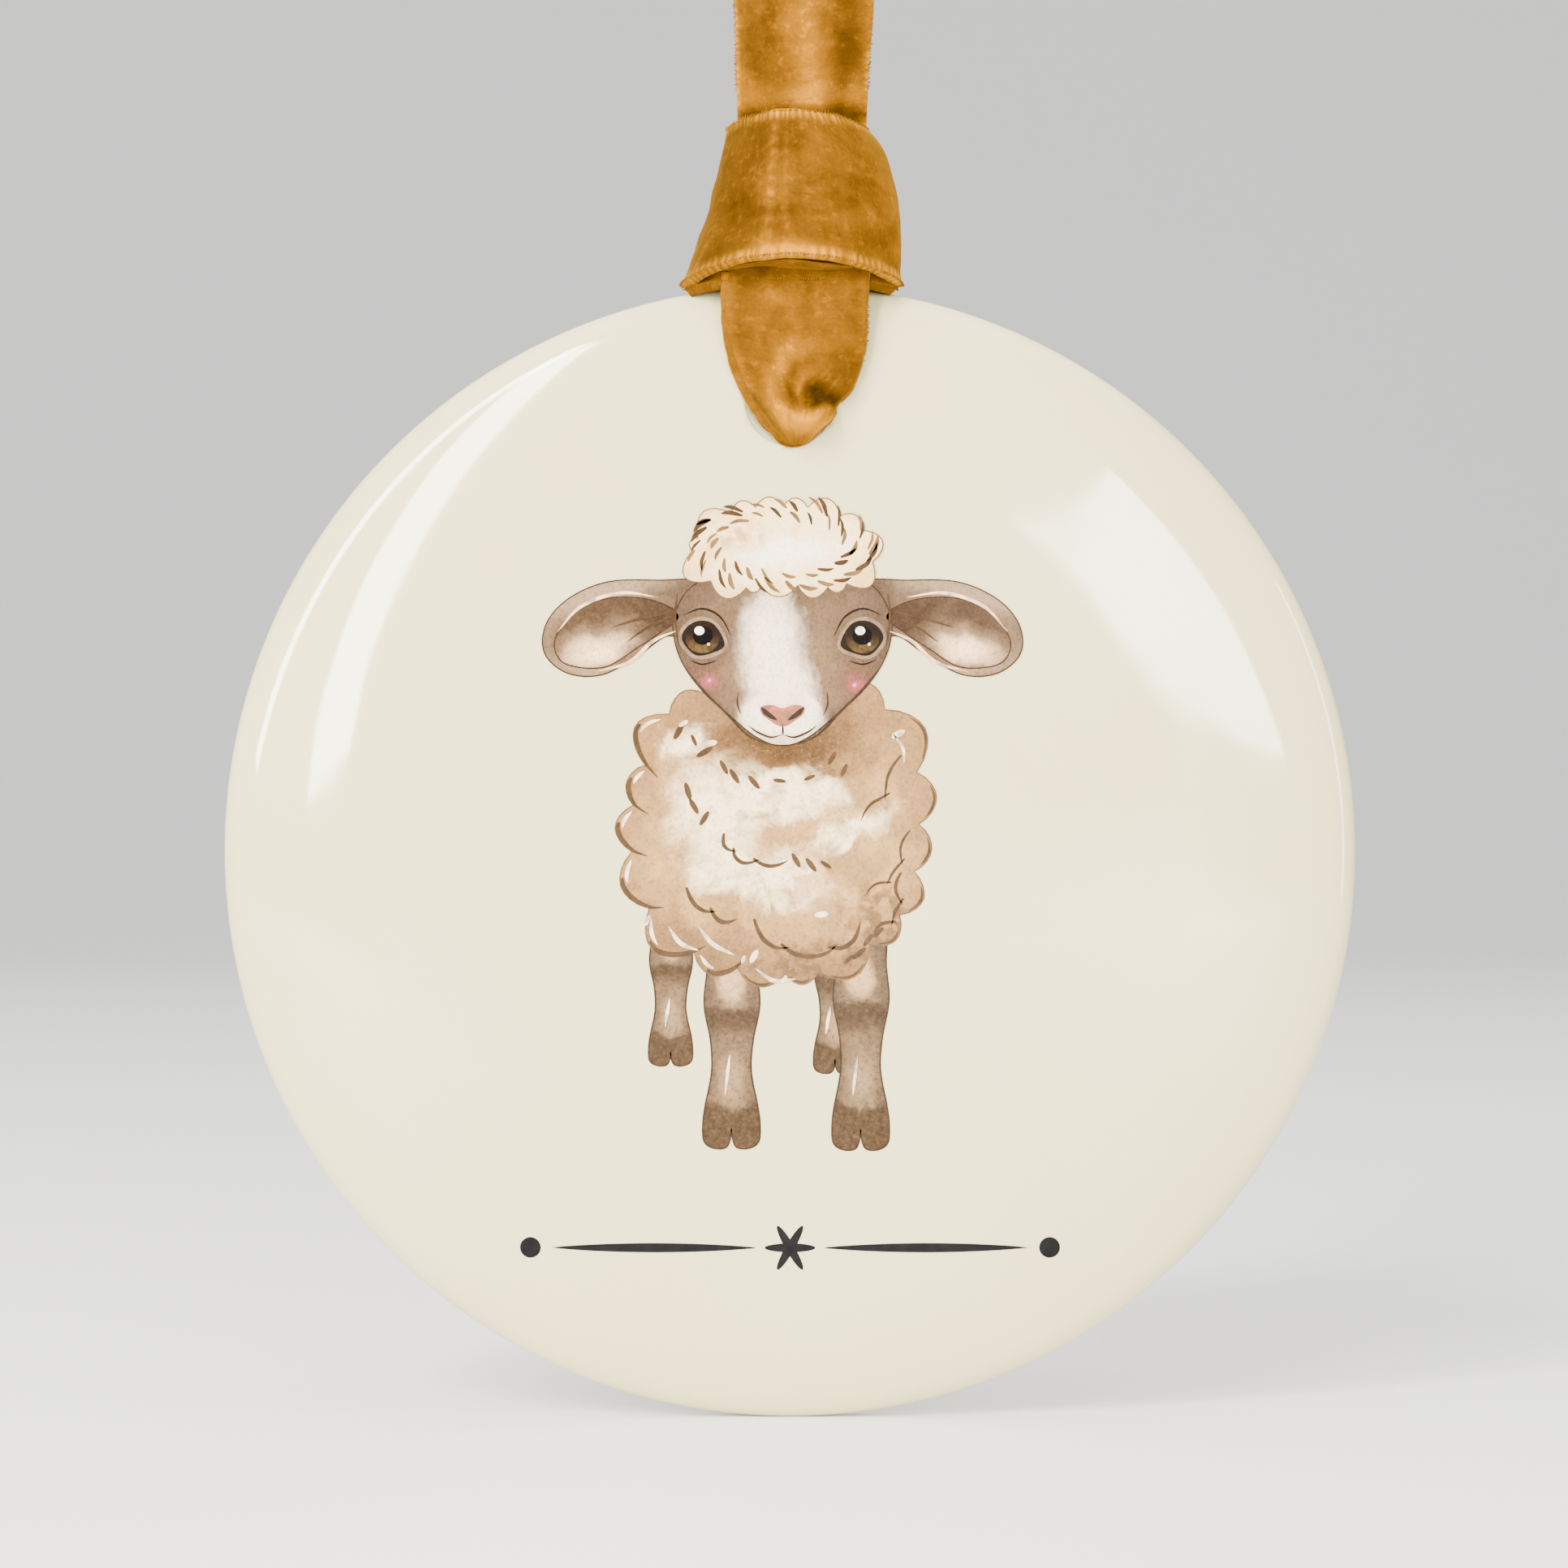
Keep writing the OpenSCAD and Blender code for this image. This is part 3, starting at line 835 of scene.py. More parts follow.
PALE_DASHES = [(-6.6, 8.5, 30), (-5.7, 7.9, -40), (-4.8, 7.2, 10), (0.7, -2.4, 84),
               (1.6, -3.4, 76), (2.6, -4.2, 6), (-9.0, -4.6, 66), (-2.6, -7.2, 70),
               (7.7, 7.8, 30), (-1.9, -7.0, 60)]
PALE_STROKES = [([(-7.6, -5.0), (-6.8, -6.1), (-5.6, -6.6)], 0.3),
                ([(-5.6, -5.0), (-4.6, -6.2), (-3.2, -6.9)], 0.3),
                ([(-1.8, -7.8), (-0.6, -8.6), (0.9, -8.5)], 0.28),
                ([(7.3, 7.9), (8.0, 6.9), (8.1, 5.9)], 0.2)]


def add_dashes(sheet, rng, places, smallest, largest, flat):
    """Adds a short dash at each (x, z, turn), of a size drawn from rng."""
    for x, z, turn in places:
        size = rng.uniform(smallest, largest)
        sheet.dot(x, z, size, size * flat, turn)


def make_strokes(wool):
    """The brush marks in the wool: brown shadow lines, pale lights and small dashes."""
    brown, pale = Sheet(4, LAMB_X), Sheet(5, LAMB_X)
    edge_strokes(wool, brown, pale)
    for points, count, swell, width in WOOL_ARCS:
        for arc in arc_row(points, count, swell):
            brown.stroke(arc, width, 0.14, 5)
    rng = random.Random(12)
    add_dashes(brown, rng, BROWN_DASHES, 0.4, 0.66, 0.32)
    add_dashes(pale, rng, PALE_DASHES, 0.28, 0.5, 0.42)
    for points, width in PALE_STROKES:
        pale.stroke(points, width)
    for x, foot, tall in ((-7.4, -14.2, 10), (3.3, -14.7, 10), (-3.4, -19.7, 14), (5.1, -19.8, 14)):
        pale.stroke([(x - 0.1, foot + tall * 0.44), (x - 0.28, foot + tall * 0.34),
                     (x - 0.42, foot + tall * 0.25)], 0.22)
    brown.done("painted_wool_shadows", plain_wash("wash_shadow", 150, 113, 78, 0.35))
    pale.done("painted_wool_lights", plain_wash("wash_light", 251, 246, 238, 0.1), (), "wool_print")
    make_head_strokes()


def make_head_strokes():
    brown, pale, tan = Sheet(7, LAMB_X), Sheet(6, LAMB_X), Sheet(7, LAMB_X)
    rng = random.Random(5)
    for ring, count, long in ((1.0, 30, 0.62), (0.76, 22, 0.58)):
        for i in range(count):
            angle = math.tau * i / count + rng.uniform(-0.08, 0.08)
            out = ring + rng.uniform(-0.06, 0.06)
            x, z = 5.9 * out * math.cos(angle), 20.35 + 2.75 * out * math.sin(angle)
            turn = math.radians(math.degrees(angle) + 56 + rng.uniform(-14, 14))
            size = long * rng.uniform(0.7, 1.2)
            dx, dz = size * math.cos(turn), size * math.sin(turn)
            bow = (0.22 * size * math.cos(angle), 0.22 * size * math.sin(angle))
            arc = [(x - dx, z - dz), (x + bow[0], z + bow[1]), (x + dx, z + dz)]
            (brown if rng.random() < 0.55 else tan).stroke(arc, rng.uniform(0.16, 0.34), 0.1, 5)
    for side in (-1, 1):
        flip = [(side * x, z) for x, z in ((7.0, 14.7), (8.6, 14.0), (10.2, 12.6), (12.4, 11.95))]
        pale.stroke(flip, 0.24)
        flip = [(side * x, z) for x, z in ((8.2, 16.9), (10.8, 17.2), (13.4, 16.3), (15.0, 14.6))]
        pale.stroke(flip, 0.24)
        flip = [(side * x, z) for x, z in ((7.2, 16.0), (9.4, 15.5), (11.4, 14.9))]
        brown.stroke(flip, 0.2, 0.1)
        flip = [(side * x, z) for x, z in ((7.3, 15.7), (9.0, 14.9), (10.4, 13.9))]
        brown.stroke(flip, 0.16, 0.1)
        flip = [(side * x, z) for x, z in ((7.0, 17.2), (7.15, 15.6), (6.9, 13.6))]
        brown.stroke(flip, 0.16)
    brown.done("painted_head_shadows", plain_wash("wash_head_shadow", 138, 102, 70, 0.3))
    tan.done("painted_cap_curls", plain_wash("wash_cap_curl", 196, 160, 120, 0.3))
    pale.done("painted_head_lights", plain_wash("wash_head_light", 240, 230, 216, 0.2))


def make_flourish():
    """Plain black ornament below the lamb: a star between two swelling lines and two dots."""
    low, high = box_mm("print_flourish")
    half, middle = (high.x - low.x) / 2, (low.z + high.z) / 2 - DISC_Z
    ink = Paint("black_ink", roughness=0.3)
    ink.set("Specular IOR Level", 0.1)
    ink.set("Base Color", ink.mix(ink.noise(ink.place(), 1.4, 2.0).rise(0.3, 0.7),
                                  (0.003, 0.003, 0.003, 1.0), (0.006, 0.005, 0.005, 1.0)))
    sheet = Sheet(1)
    star = 1.7
    for side in (-1, 1):
        line = [(side * (star + 0.6 + (half - 2.8 - star) * i / 24), middle) for i in range(25)]
        sheet.stroke(line, 0.62, 0.0, 1)
        sheet.dot(side * (half - 0.7), middle, 0.7)
    for turn in (0, 60, 120):
        sheet.dot(0, middle, star, 0.3, turn)
    sheet.done("printed_flourish", ink.material, ["print_flourish"], "black_print")


# ---- velvet ---------------------------------------------------------------------

CLOTH_HALF = 5.0   # a cloth's own u runs from -5 to 5 across the ribbon, in millimetres


def velvet_paint():
    """Gold velvet: mottled pile with painted highlights and shade, and a ribbed selvage at both edges."""
    paint = Paint("gold_velvet", roughness=0.85)
    cloth = paint.node("ShaderNodeUVMap", {"uv_map": "cloth"}, {})
    u, v, _ = paint.parts_of(cloth)
    mottle = paint.noise(paint.joined(u * 0.9, v * 0.7, 0.0), 0.36, 4.0, 0.62, 0.5)
    crush = paint.noise(paint.joined(u * 0.5, v * 1.2, 3.0), 0.8, 3.0, 0.6, 0.5)
    glints = paint.noise(paint.joined(u * 0.8, v * 0.8, 8.0), 2.3, 2.0, 0.6).rise(0.52, 0.78)
    rows = paint.noise(paint.joined(u * 0.5, v * 3.2, 6.0), 1.6, 2.0, 0.6)
    pile = paint.noise(paint.joined(u, v, 0.0), 4.5, 2.0, 0.7)
    opened = paint.node("ShaderNodeAttribute", {"attribute_name": "opened"}, {}, "Fac")
    # tone: random mottling and crushed pile, plus painted glints and the painted highlights and shade of
    # opened
    tone = (mottle * 0.72 + crush * 0.3 + rows * 0.08 + pile * 0.2 - 0.19 + glints * 0.16
            + opened * 0.45)
    colour = paint.node("ShaderNodeValToRGB", {"stops": [
        (0.08, shade_of(100, 60, 8)), (0.32, shade_of(148, 95, 24)), (0.50, shade_of(184, 127, 42)),
        (0.68, shade_of(208, 154, 46)), (0.92, shade_of(232, 192, 84))]}, {0: tone})
    edge = abs(u).rise(4.2, 4.75)
    patchy = paint.noise(paint.joined(u * 0.12, v * 0.9, 5.0), 1.0, 1.0)
    ribs = ((v * 13.0 + patchy * 14.0).sine() * 0.5 + 0.5) * (0.3 + patchy.rise(0.35, 0.6) * 0.7)
    # the selvage ribs get a painted highlight, stronger where opened is high
    lit = (opened * 0.9 + 0.35).most(0.1).least(1.0)
    colour = paint.mix(edge * (0.15 + 0.75 * ribs) * lit, colour, shade_of(250, 220, 148))
    paint.set("Base Color", colour)
    paint.set("Sheen Weight", 0.2)
    paint.set("Sheen Roughness", 0.4)
    paint.set("Sheen Tint", (1.0, 0.52, 0.03, 1.0))
    paint.set("Specular IOR Level", 0.02)
    paint.bump(pile * 0.25 + mottle * 0.9 + crush * 0.6 + ribs * edge * 0.5, 0.6, 0.3)
    return paint.material


def ground_paint():
    """The ribbon's plain woven back."""
    paint = Paint("gold_ribbon_back", roughness=0.6)
    cloth = paint.node("ShaderNodeUVMap", {"uv_map": "cloth"}, {})
    u, v, _ = paint.parts_of(cloth)
    weft, warp = (v * (math.tau / 0.22)).sine(), (u * (math.tau / 0.3)).sine()
    weave = (weft * warp) * 0.5 + 0.5
    uneven = paint.noise(paint.joined(u * 0.3, v, 0.0), 0.8, 3.0)
    paint.set("Base Color", paint.mix(weave * 0.6 + uneven * 0.3, shade_of(138, 86, 18),
                                      shade_of(196, 138, 44)))
    paint.set("Specular IOR Level", 0.02)
    paint.bump(weave, 0.5, 0.06)
    return paint.material


def cloth_grid(across, along, place, opened, bend):
    """A grid laid out as cloth: place(s, t) says where, for s from -1 to 1 and t from 0 to 1.
    bend(s, t) gives the cloth's own (u, v) in millimetres; opened(s, t) paints in highlights and shade."""
    bm = bmesh.new()
    bmesh.ops.create_grid(bm, x_segments=across, y_segments=along, size=1.0)
    uv_layer = bm.loops.layers.uv.new("cloth")
    painted_light_layer = bm.verts.layers.float.new("opened")
    own = {}
    for vert in bm.verts:
        s, t = vert.co.x, (vert.co.y + 1) / 2
        own[vert] = (s, t)
        # stores each point's painted light: above 0 a painted highlight, below 0 painted shade
        vert[painted_light_layer] = opened(s, t)
        vert.co = place(s, t)
    for face in bm.faces:
        for loop in face.loops:
            s, t = own[loop.vert]
            loop[uv_layer].uv = bend(s, t)
    return bm


def thicken(made, thickness, offset=-1.0):
    """Gives a cloth its thickness, with the woven back on its other side."""
    solid = made.modifiers.new("thickness", "SOLIDIFY")
    solid.thickness = thickness * MM
    solid.offset = offset
    solid.material_offset = 1
    solid.material_offset_rim = 0
    return settled(made)


def ruffled(p, size=0.06, pitch=0.9):
    """A little unevenness, so that no cloth is quite smooth."""
    q = Vector(p) * pitch
    return size * Vector([noise.noise(q + Vector(away))
                          for away in ((0, 0, 0), (9, 3, 5), (4, 8, 1))])


def turn_over(bm):
    """Turns every face of a cloth to its other side."""
    for face in bm.faces:
        face.normal_flip()


def side_edge(place, s, inside, steps, count):
    """One long edge of a cloth, as fringe takes it; inside is the s that the edge faces from."""
    pairs = [(place(s, i / count), place(s * inside, i / count)) for i in steps]
    return [(p, (p - q).normalized()) for p, q in pairs]


def add_tuft(bm, root, ahead, tall, width, uv_layer, painted_light_layer):
    """Adds one tuft of pile, a spike with three sides."""
    side_way = ahead.orthogonal().normalized()
    base = [root + Matrix.Rotation(math.radians(120 * i), 3, ahead) @ side_way * width
            - ahead * 0.06 for i in range(3)]
    corners = [bm.verts.new(p * MM) for p in base + [root + ahead * tall]]
    for i, j, k in ((0, 2, 1), (0, 1, 3), (1, 2, 3), (2, 0, 3)):
        face = bm.faces.new((corners[i], corners[j], corners[k]))
        for loop in face.loops:
            loop[uv_layer].uv = (3.2, root.z + root.x)
    # each tuft gets a little painted highlight
    for vert in corners:
        if painted_light_layer:
            vert[painted_light_layer] = 0.3


def fringe(made, edges, seed, length=0.24, pitch=0.17, width=0.07):
    """Adds the short tufts of pile that stand out from a cloth's edges.
    An edge is a list of (point, outward direction) along it, in millimetres."""
    rng = random.Random(seed)
    bm = bmesh.new()
    bm.from_mesh(made.data)
    layers = (bm.loops.layers.uv["cloth"], bm.verts.layers.float.get("opened"))
    for edge in edges:
        walked = 0.0
        for (a, out_a), (b, out_b) in zip(edge, edge[1:]):
            span = (b - a).length
            while walked < span:
                share = walked / span
                out = out_a.lerp(out_b, share).normalized()
                lean = Vector([rng.uniform(-0.45, 0.45) for _ in range(3)])
                tall = length * rng.uniform(0.5, 1.15)
                add_tuft(bm, a.lerp(b, share), (out + lean).normalized(), tall, width, *layers)
                walked += pitch * rng.uniform(0.6, 1.4)
            walked -= span
    bm.to_mesh(made.data)
    bm.free()
    made.data.polygons.foreach_set("use_smooth", [True] * len(made.data.polygons))


# ---- the two strands of the hanging loop ----------------------------------------

STRAND_X = 0.85     # the strands hang a little right of the disc's middle
KNOT_TOP = RIM_Z + 11.2


def strand_line():
    """The front strand's middle line as (y, z), from inside the rim knot up into the end knot."""
    bottom, top = -(CLOTH_T / 2 + 0.15), eye_low.y + CLOTH_T / 2
    knee = -3.2
    points = [(bottom, strand_low.z - 2.6), (bottom, strand_low.z - 1.2), (bottom, strand_low.z)]
    points += [(bottom + (top - bottom) * i / 6, strand_low.z + (knee - strand_low.z) * i / 6)
               for i in range(1, 7)]
    points += [(top * 0.93, knee + 1.7), (top * 0.66, knee + 2.95), (top * 0.36, knee + 3.7),
               (-0.62, knee + 4.6), (-0.55, knee + 6.4)]
    return smooth_path(points, 10)


STRAND = strand_line()
STRAND_LENGTHS = [0.0]
for _a, _b in zip(STRAND, STRAND[1:]):
    STRAND_LENGTHS.append(STRAND_LENGTHS[-1] + (_b - _a).length)


def strand_at(t):
    """Point (y, z) and direction of the strand's line at a share t of its length."""
    want = t * STRAND_LENGTHS[-1]
    for i in range(1, len(STRAND)):
        if STRAND_LENGTHS[i] >= want or i == len(STRAND) - 1:
            share = (want - STRAND_LENGTHS[i - 1]) / (STRAND_LENGTHS[i] - STRAND_LENGTHS[i - 1])
            ahead = (STRAND[i] - STRAND[i - 1]).normalized()
            return STRAND[i - 1].lerp(STRAND[i], min(1.0, share)), ahead
    return STRAND[-1], Vector((0, 1))


def strand_place(side):
    def place(s, t):
        (y, z), ahead = strand_at(t)
        above = max(0.0, z - KNOT_TOP)
        squeeze = math.exp(-above / 7.0)
        half = CLOTH_HALF - 0.25 - 0.45 * squeeze
        cup = (0.35 + 0.55 * squeeze) * s * s
        folds = 0.22 * squeeze * math.sin(7.5 * s + 1.1) + 0.12 * math.sin(2.2 * s + z * 0.12)
        off = (folds - cup) * min(1.0, max(0.15, (-z) / 8.0))
        centre = STRAND_X * min(1.0, max(0.0, -z / 30.0))
        out = Vector((-abs(ahead.y), ahead.x))
        x = centre + half * s * (1 + 0.012 * math.sin(z * 0.55 + s))
        point = Vector((x, min(y + out.x * off, -0.4 * CLOTH_T - 0.08), z + out.y * off))
        if side > 0:
            point.y = -point.y
        return point + ruffled(Vector((x, abs(point.y), z)), 0.05, 0.7)
    return place


def make_strand(side, velvet, ground):
    place = strand_place(side)
    word = "front" if side < 0 else "back"

    def laid(s, t):
        return place(s * -side, t)

    # painted light on the strand: a painted highlight band down its middle, painted shade at its sides, a
    # painted highlight just above the knot, a painted shadow where it goes into the knot and bright edges
    def opened(s, t):
        z = strand_at(t)[0][1]
        above, sway = z - KNOT_TOP, 0.12 * math.sin(z * 0.21)
        tone = 0.42 * math.exp(-((s - 0.12 + sway) / 0.24) ** 2) + 0.09
        tone -= 0.5 * math.exp(-((s - 0.62 - sway) / 0.22) ** 2)
        tone -= 0.25 * math.exp(-((s + 0.55) / 0.3) ** 2)
        tone += 0.5 * math.exp(-((above - 1.3 - 0.4 * s) / 0.8) ** 2) * (1 - 0.6 * s * s)
        tone -= 0.7 * math.exp(-((above - 0.1) / 0.5) ** 2)
        return max(-0.6, min(1.0, tone + 0.3 * max(0.0, abs(s) - 0.9) / 0.1))

    def cloth(s, t):
        return (s * CLOTH_HALF * 0.92, t * STRAND_LENGTHS[-1] + (40 if side > 0 else 0))

    bm = cloth_grid(26, 190, laid, opened, cloth)
    strand = piece(f"velvet_{word}_strand", bm, [velvet, ground], None,
                   [f"{word}_strand_upper", f"{word}_strand_lower"])
    thicken(strand, CLOTH_T * 0.8, 0.0)
    edges = [side_edge(place, s, 0.8, range(3, 57), 60) for s in (-1, 1)]
    fringe(strand, edges, 20 + side)
    return strand


# ---- knots ----------------------------------------------------------------------

class Wrap:
    """The band of ribbon round a knot: a flattened, flared tube."""

    def __init__(self, bottom, height, left, right, front, back, arch):
        self.bottom, self.height = bottom, height
        self.left, self.right = left, right      # half widths as functions of the height's share
        self.front, self.back = front, back      # half depths, the same way
        self.arch = arch                         # how far the front's edges bow upwards

    def at(self, angle, h):
        """Point at an angle round the band (0 at the right, 90 at the front) and a share h up it."""
        c, s = math.cos(angle), math.sin(angle)
        x = self.right(h) * c if c > 0 else self.left(h) * c
        depth = self.front(h) if s > 0 else self.back(h)
        y = -math.copysign(depth * abs(s) ** 1.04, s)
        rise = self.arch * max(0.0, s) ** 2 * (1.0 - 0.35 * h)
        dip = -0.45 * max(0.0, -s) ** 2 - 0.2 * abs(c) ** 6 * (1 - h) ** 2
        return Vector((x, y, self.bottom + self.height * h + rise + dip))

    def round_length(self, h=0.5):
        ring = [self.at(math.tau * i / 48, h) for i in range(49)]
        return sum((b - a).length for a, b in zip(ring, ring[1:]))


def rim_wrap():
    return Wrap(
        RIM_Z + 0.2, RIBBON_W + 0.2,
        lambda h: 7.25 - 3.2 * h - 0.25 * math.sin(math.pi * h),
        lambda h: 7.45 - 0.75 * h ** 2 - 1.65 * h ** 7,
        lambda h: 5.0 - 1.7 * h + 0.35 * math.sin(math.pi * h),
        lambda h: 4.5 - 1.3 * h + 0.3 * math.sin(math.pi * h),
        1.25)


def inner_turn():
    """The ribbon's second turn, which shows below the outer one at both sides."""
    return Wrap(
        RIM_Z - 0.1, 3.4,
        lambda h: 6.8 - 1.1 * h, lambda h: 7.0 - 0.1 * h,
        lambda h: 3.4 - 0.3 * h, lambda h: 3.4 - 0.3 * h,
        0.1)


def end_wrap():
    height = end_high.z - end_low.z
    return Wrap(
        end_low.z, height,
        lambda h: 5.3 + 0.75 * h - 0.35 * math.sin(math.pi * h),
        lambda h: 5.2 + 0.95 * h - 0.45 * math.sin(math.pi * h),
        lambda h: 2.2 + 0.1 * h + 0.3 * math.sin(math.pi * h),
        lambda h: 2.2 + 0.1 * h + 0.3 * math.sin(math.pi * h),
        0.7)


class Band:
    """The velvet of one turn round a knot, with a crease down its front."""

    def __init__(self, wrap, crease, seed, hidden=False):
        self.wrap = wrap
        self.crease = crease        # where the crease is, across the front
        self.seed = seed
        self.hidden = hidden        # an inner turn gets no painted highlights, only faint painted shade
        self.length = wrap.round_length()

    def laid(self, s, t):
        angle = math.tau * t - math.pi / 2
        h = (s + 1) / 2
        p = self.wrap.at(angle, h)
        front = max(0.0, math.sin(angle))
        out = Vector((math.cos(angle) * 0.4, -math.sin(angle), 0)).normalized()
        ridge = 0.22 * math.exp(-((p.x - self.crease) / 0.55) ** 2) * front
        ridge += 0.14 * math.exp(-((p.x - self.crease - 3.2) / 1.1) ** 2) * front
        pinch = -0.3 * math.exp(-((h - 0.93) / 0.1) ** 2) * front
        sway = 0.2 * noise.noise(Vector((p.x * 0.35, self.seed, p.z * 0.3)))
        edge = 0.16 * max(0.0, (abs(s) - 0.82) / 0.18) ** 2
        return p + out * (ridge + pinch + sway + edge) + ruffled(p, 0.07, 0.8)

    def opened(self, s, t):
        # painted light on the band: bright selvage edges, painted highlights along the crease, the lower
        # edge and the right corner, painted shade on its left side and near its right edge
        if self.hidden:
            return -0.12
        angle = math.tau * t - math.pi / 2
        front = max(0.0, math.sin(angle))
        rim = max(0.0, (abs(s) - 0.86) / 0.14)
        p = self.wrap.at(angle, 0.5)
        beads = 0.65 + 0.35 * math.sin(s * 34)
        ridge = 0.5 * math.exp(-((p.x - self.crease) / 0.28) ** 2) * front * beads
        ridge += 0.3 * math.exp(-((p.x - self.crease - 0.9) / 0.25) ** 2) * front * beads
        ridge += 0.5 * math.exp(-((s + 0.9) / 0.12) ** 2 - ((p.x - 0.6) / 2.4) ** 2) * front
        ridge -= 0.22 * math.exp(-((p.x - 4.9) / 1.2) ** 2) * front
        corner = 0.35 * math.exp(-((abs(p.x) - self.wrap.right(0.5)) / 0.6) ** 2) if p.x > 0 else 0.0
        shade = 0.75 * min(1.0, max(0.0, (-p.x - 1.6) / 3.6))
        shade -= 0.16 * min(1.0, max(0.0, (p.x - 0.5) / 2.0)) - 0.1
        return min(1.0, 0.45 * rim * (0.4 + 0.6 * front) + ridge + corner - shade * front)

    def cloth(self, s, t):
        return (s * CLOTH_HALF * (0.6 if self.hidden else 1.0), t * self.length + self.seed * 17)

    def edge(self, s):
        """The band's upper or lower edge, as fringe takes it."""
        ring = []
        for i in range(73):
            p, q = self.laid(s, i / 72), self.laid(s * 0.85, i / 72)
            away = (p - q).normalized() + Vector((0, p.y, 0)).normalized() * 0.3
            ring.append((p, away.normalized()))
        return ring


def make_wrap(name, band, velvet, ground, body, stands_for=()):
    """One turn of velvet round a knot, joined up at the back."""
    bm = cloth_grid(36, 130, band.laid, band.opened, band.cloth)
    bmesh.ops.remove_doubles(bm, verts=bm.verts, dist=0.002)
    bmesh.ops.recalc_face_normals(bm, faces=bm.faces)
    made = piece(name, bm, [velvet, ground], None, stands_for)
    facing_out(made)
    thicken(made, CLOTH_T * 0.8)
    fringe(made, [band.edge(s) for s in (-1, 1)], band.seed)
    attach(made, body)
    return made


def facing_out(made):
    """Turns an open band's faces away from its own middle."""
    mesh = made.data
    middle = sum((v.co for v in mesh.vertices), Vector()) / len(mesh.vertices)
    inward = sum(1 for p in mesh.polygons
                 if p.normal.dot(Vector((p.center.x - middle.x, p.center.y - middle.y, 0))) < 0)
    if inward > len(mesh.polygons) / 2:
        mesh.flip_normals()
    mesh.update()


def make_tuck(name, wrap, velvet, ground, body, seed):
    """The pass of ribbon that crosses the back of a knot and tucks in under both edges."""
    def laid(s, t):
        tuck = max(0.0, abs(t - 0.5) - 0.40) / 0.10
        h = -0.12 + 1.24 * min(0.9, max(0.1, t))
        over = 0.35 * math.sin(math.pi * tuck) - 0.9 * tuck ** 2
        x = (-0.42 + 0.84 * t) * wrap.left(0.3) * 1.1 + s * 3.1 * (1 - 0.25 * t)
        x_share = min(0.97, abs(x) / max(wrap.left(h if h > 0 else 0), 0.1))
        depth = wrap.back(min(1.0, max(0.0, h))) * (1 - x_share ** 2) ** 0.6
        y = depth + 0.62 - 1.4 * tuck ** 2 - 0.35 * s * s
        z = wrap.bottom + wrap.height * h - 0.3 + 1.1 * s * (0.5 - abs(t - 0.5))
        z += over if t > 0.5 else -over
        p = Vector((x, y, z))
        return p + ruffled(p, 0.08, 0.8)

    def cloth(s, t):
        return (s * CLOTH_HALF, t * 14 + seed * 9)

    # a painted highlight along both edges
    def opened(s, t):
        return 0.4 * max(0.0, abs(s) - 0.85) / 0.15

    bm = cloth_grid(24, 60, laid, opened, cloth)
    turn_over(bm)
    made = piece(name, bm, [velvet, ground], None, ())
    thicken(made, CLOTH_T * 0.7)
    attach(made, body)
    return made


def make_mouth(name, wrap, velvet, body):
    """The folds that close a knot's mouth, just inside its lower edge."""
    bm = bmesh.new()
    bmesh.ops.create_uvsphere(bm, u_segments=48, v_segments=12, radius=1.0)
    uv_layer = bm.loops.layers.uv.new("cloth")
    for vert in bm.verts:
        angle = math.atan2(vert.co.y, vert.co.x)
        out = math.hypot(vert.co.x, vert.co.y)
        edge = wrap.at(angle, 0.04)
        folds = 0.18 * math.sin(5 * angle + 6 * out) * out
        vert.co = Vector((edge.x * out * 0.92, edge.y * out * 0.9,
                          wrap.bottom + 0.75 + 0.45 * vert.co.z + folds))
    for face in bm.faces:
        for loop in face.loops:
            loop[uv_layer].uv = (loop.vert.co.x * 0.6, loop.vert.co.y)
    bmesh.ops.recalc_face_normals(bm, faces=bm.faces)
    return piece(name, bm, [velvet], body, ())


def make_core(name, wrap, velvet, body, top_share=0.94, stands_for=()):
    """What fills a knot: the ribbon's own folds, seen only in its mouth."""
    bm = bmesh.new()
    bmesh.ops.create_uvsphere(bm, u_segments=40, v_segments=20, radius=1.0)
    low, high = wrap.bottom + 0.3, wrap.bottom + wrap.height * top_share
    for vert in bm.verts:
        angle = math.atan2(vert.co.y, vert.co.x)
        around = 1 + 0.07 * math.sin(6 * angle + 4 * vert.co.z)
        h = (vert.co.z + 1) / 2
        flat = min(1.0, math.hypot(vert.co.x, vert.co.y) * 4)
        rise = wrap.arch * 0.6 * max(0.0, math.sin(-angle)) ** 2 * (1 - h)
        vert.co = Vector((
            math.cos(angle) * flat * (wrap.left(h) - 0.95) * around,
            math.sin(angle) * flat * (wrap.front(h) - 1.25) * around,
            low + (high - low) * h + rise))
    uv_layer = bm.loops.layers.uv.new("cloth")
    for face in bm.faces:
        for loop in face.loops:
            loop[uv_layer].uv = (loop.vert.co.x * 0.6, loop.vert.co.z)
    return piece(name, bm, [velvet], body, stands_for)


# ---- the legs of the ribbon over the disc ---------------------------------------

LEG_TIP = RIM_Z - 11.0
LEG_HALF = 4.75      # half the leg's width at the knot
TIP_R = 1.5          # roundness of its tip
DIMPLE = Vector((1.75, HOLE_Z + 0.35))


def leg_half(z, tip, shoulder=RIM_Z - 2.0):
    """Half the gathered ribbon's width at a height: straight, then round to its tip."""
    share = min(1.0, max(0.0, (shoulder - z) / (shoulder - tip)))
    near = min(TIP_R, max(0.0, z - tip))
    blunt = math.sqrt(TIP_R ** 2 - (TIP_R - near) ** 2) if near < TIP_R else 0
    return max(LEG_HALF * (1 - share ** 2) ** 0.7, blunt)


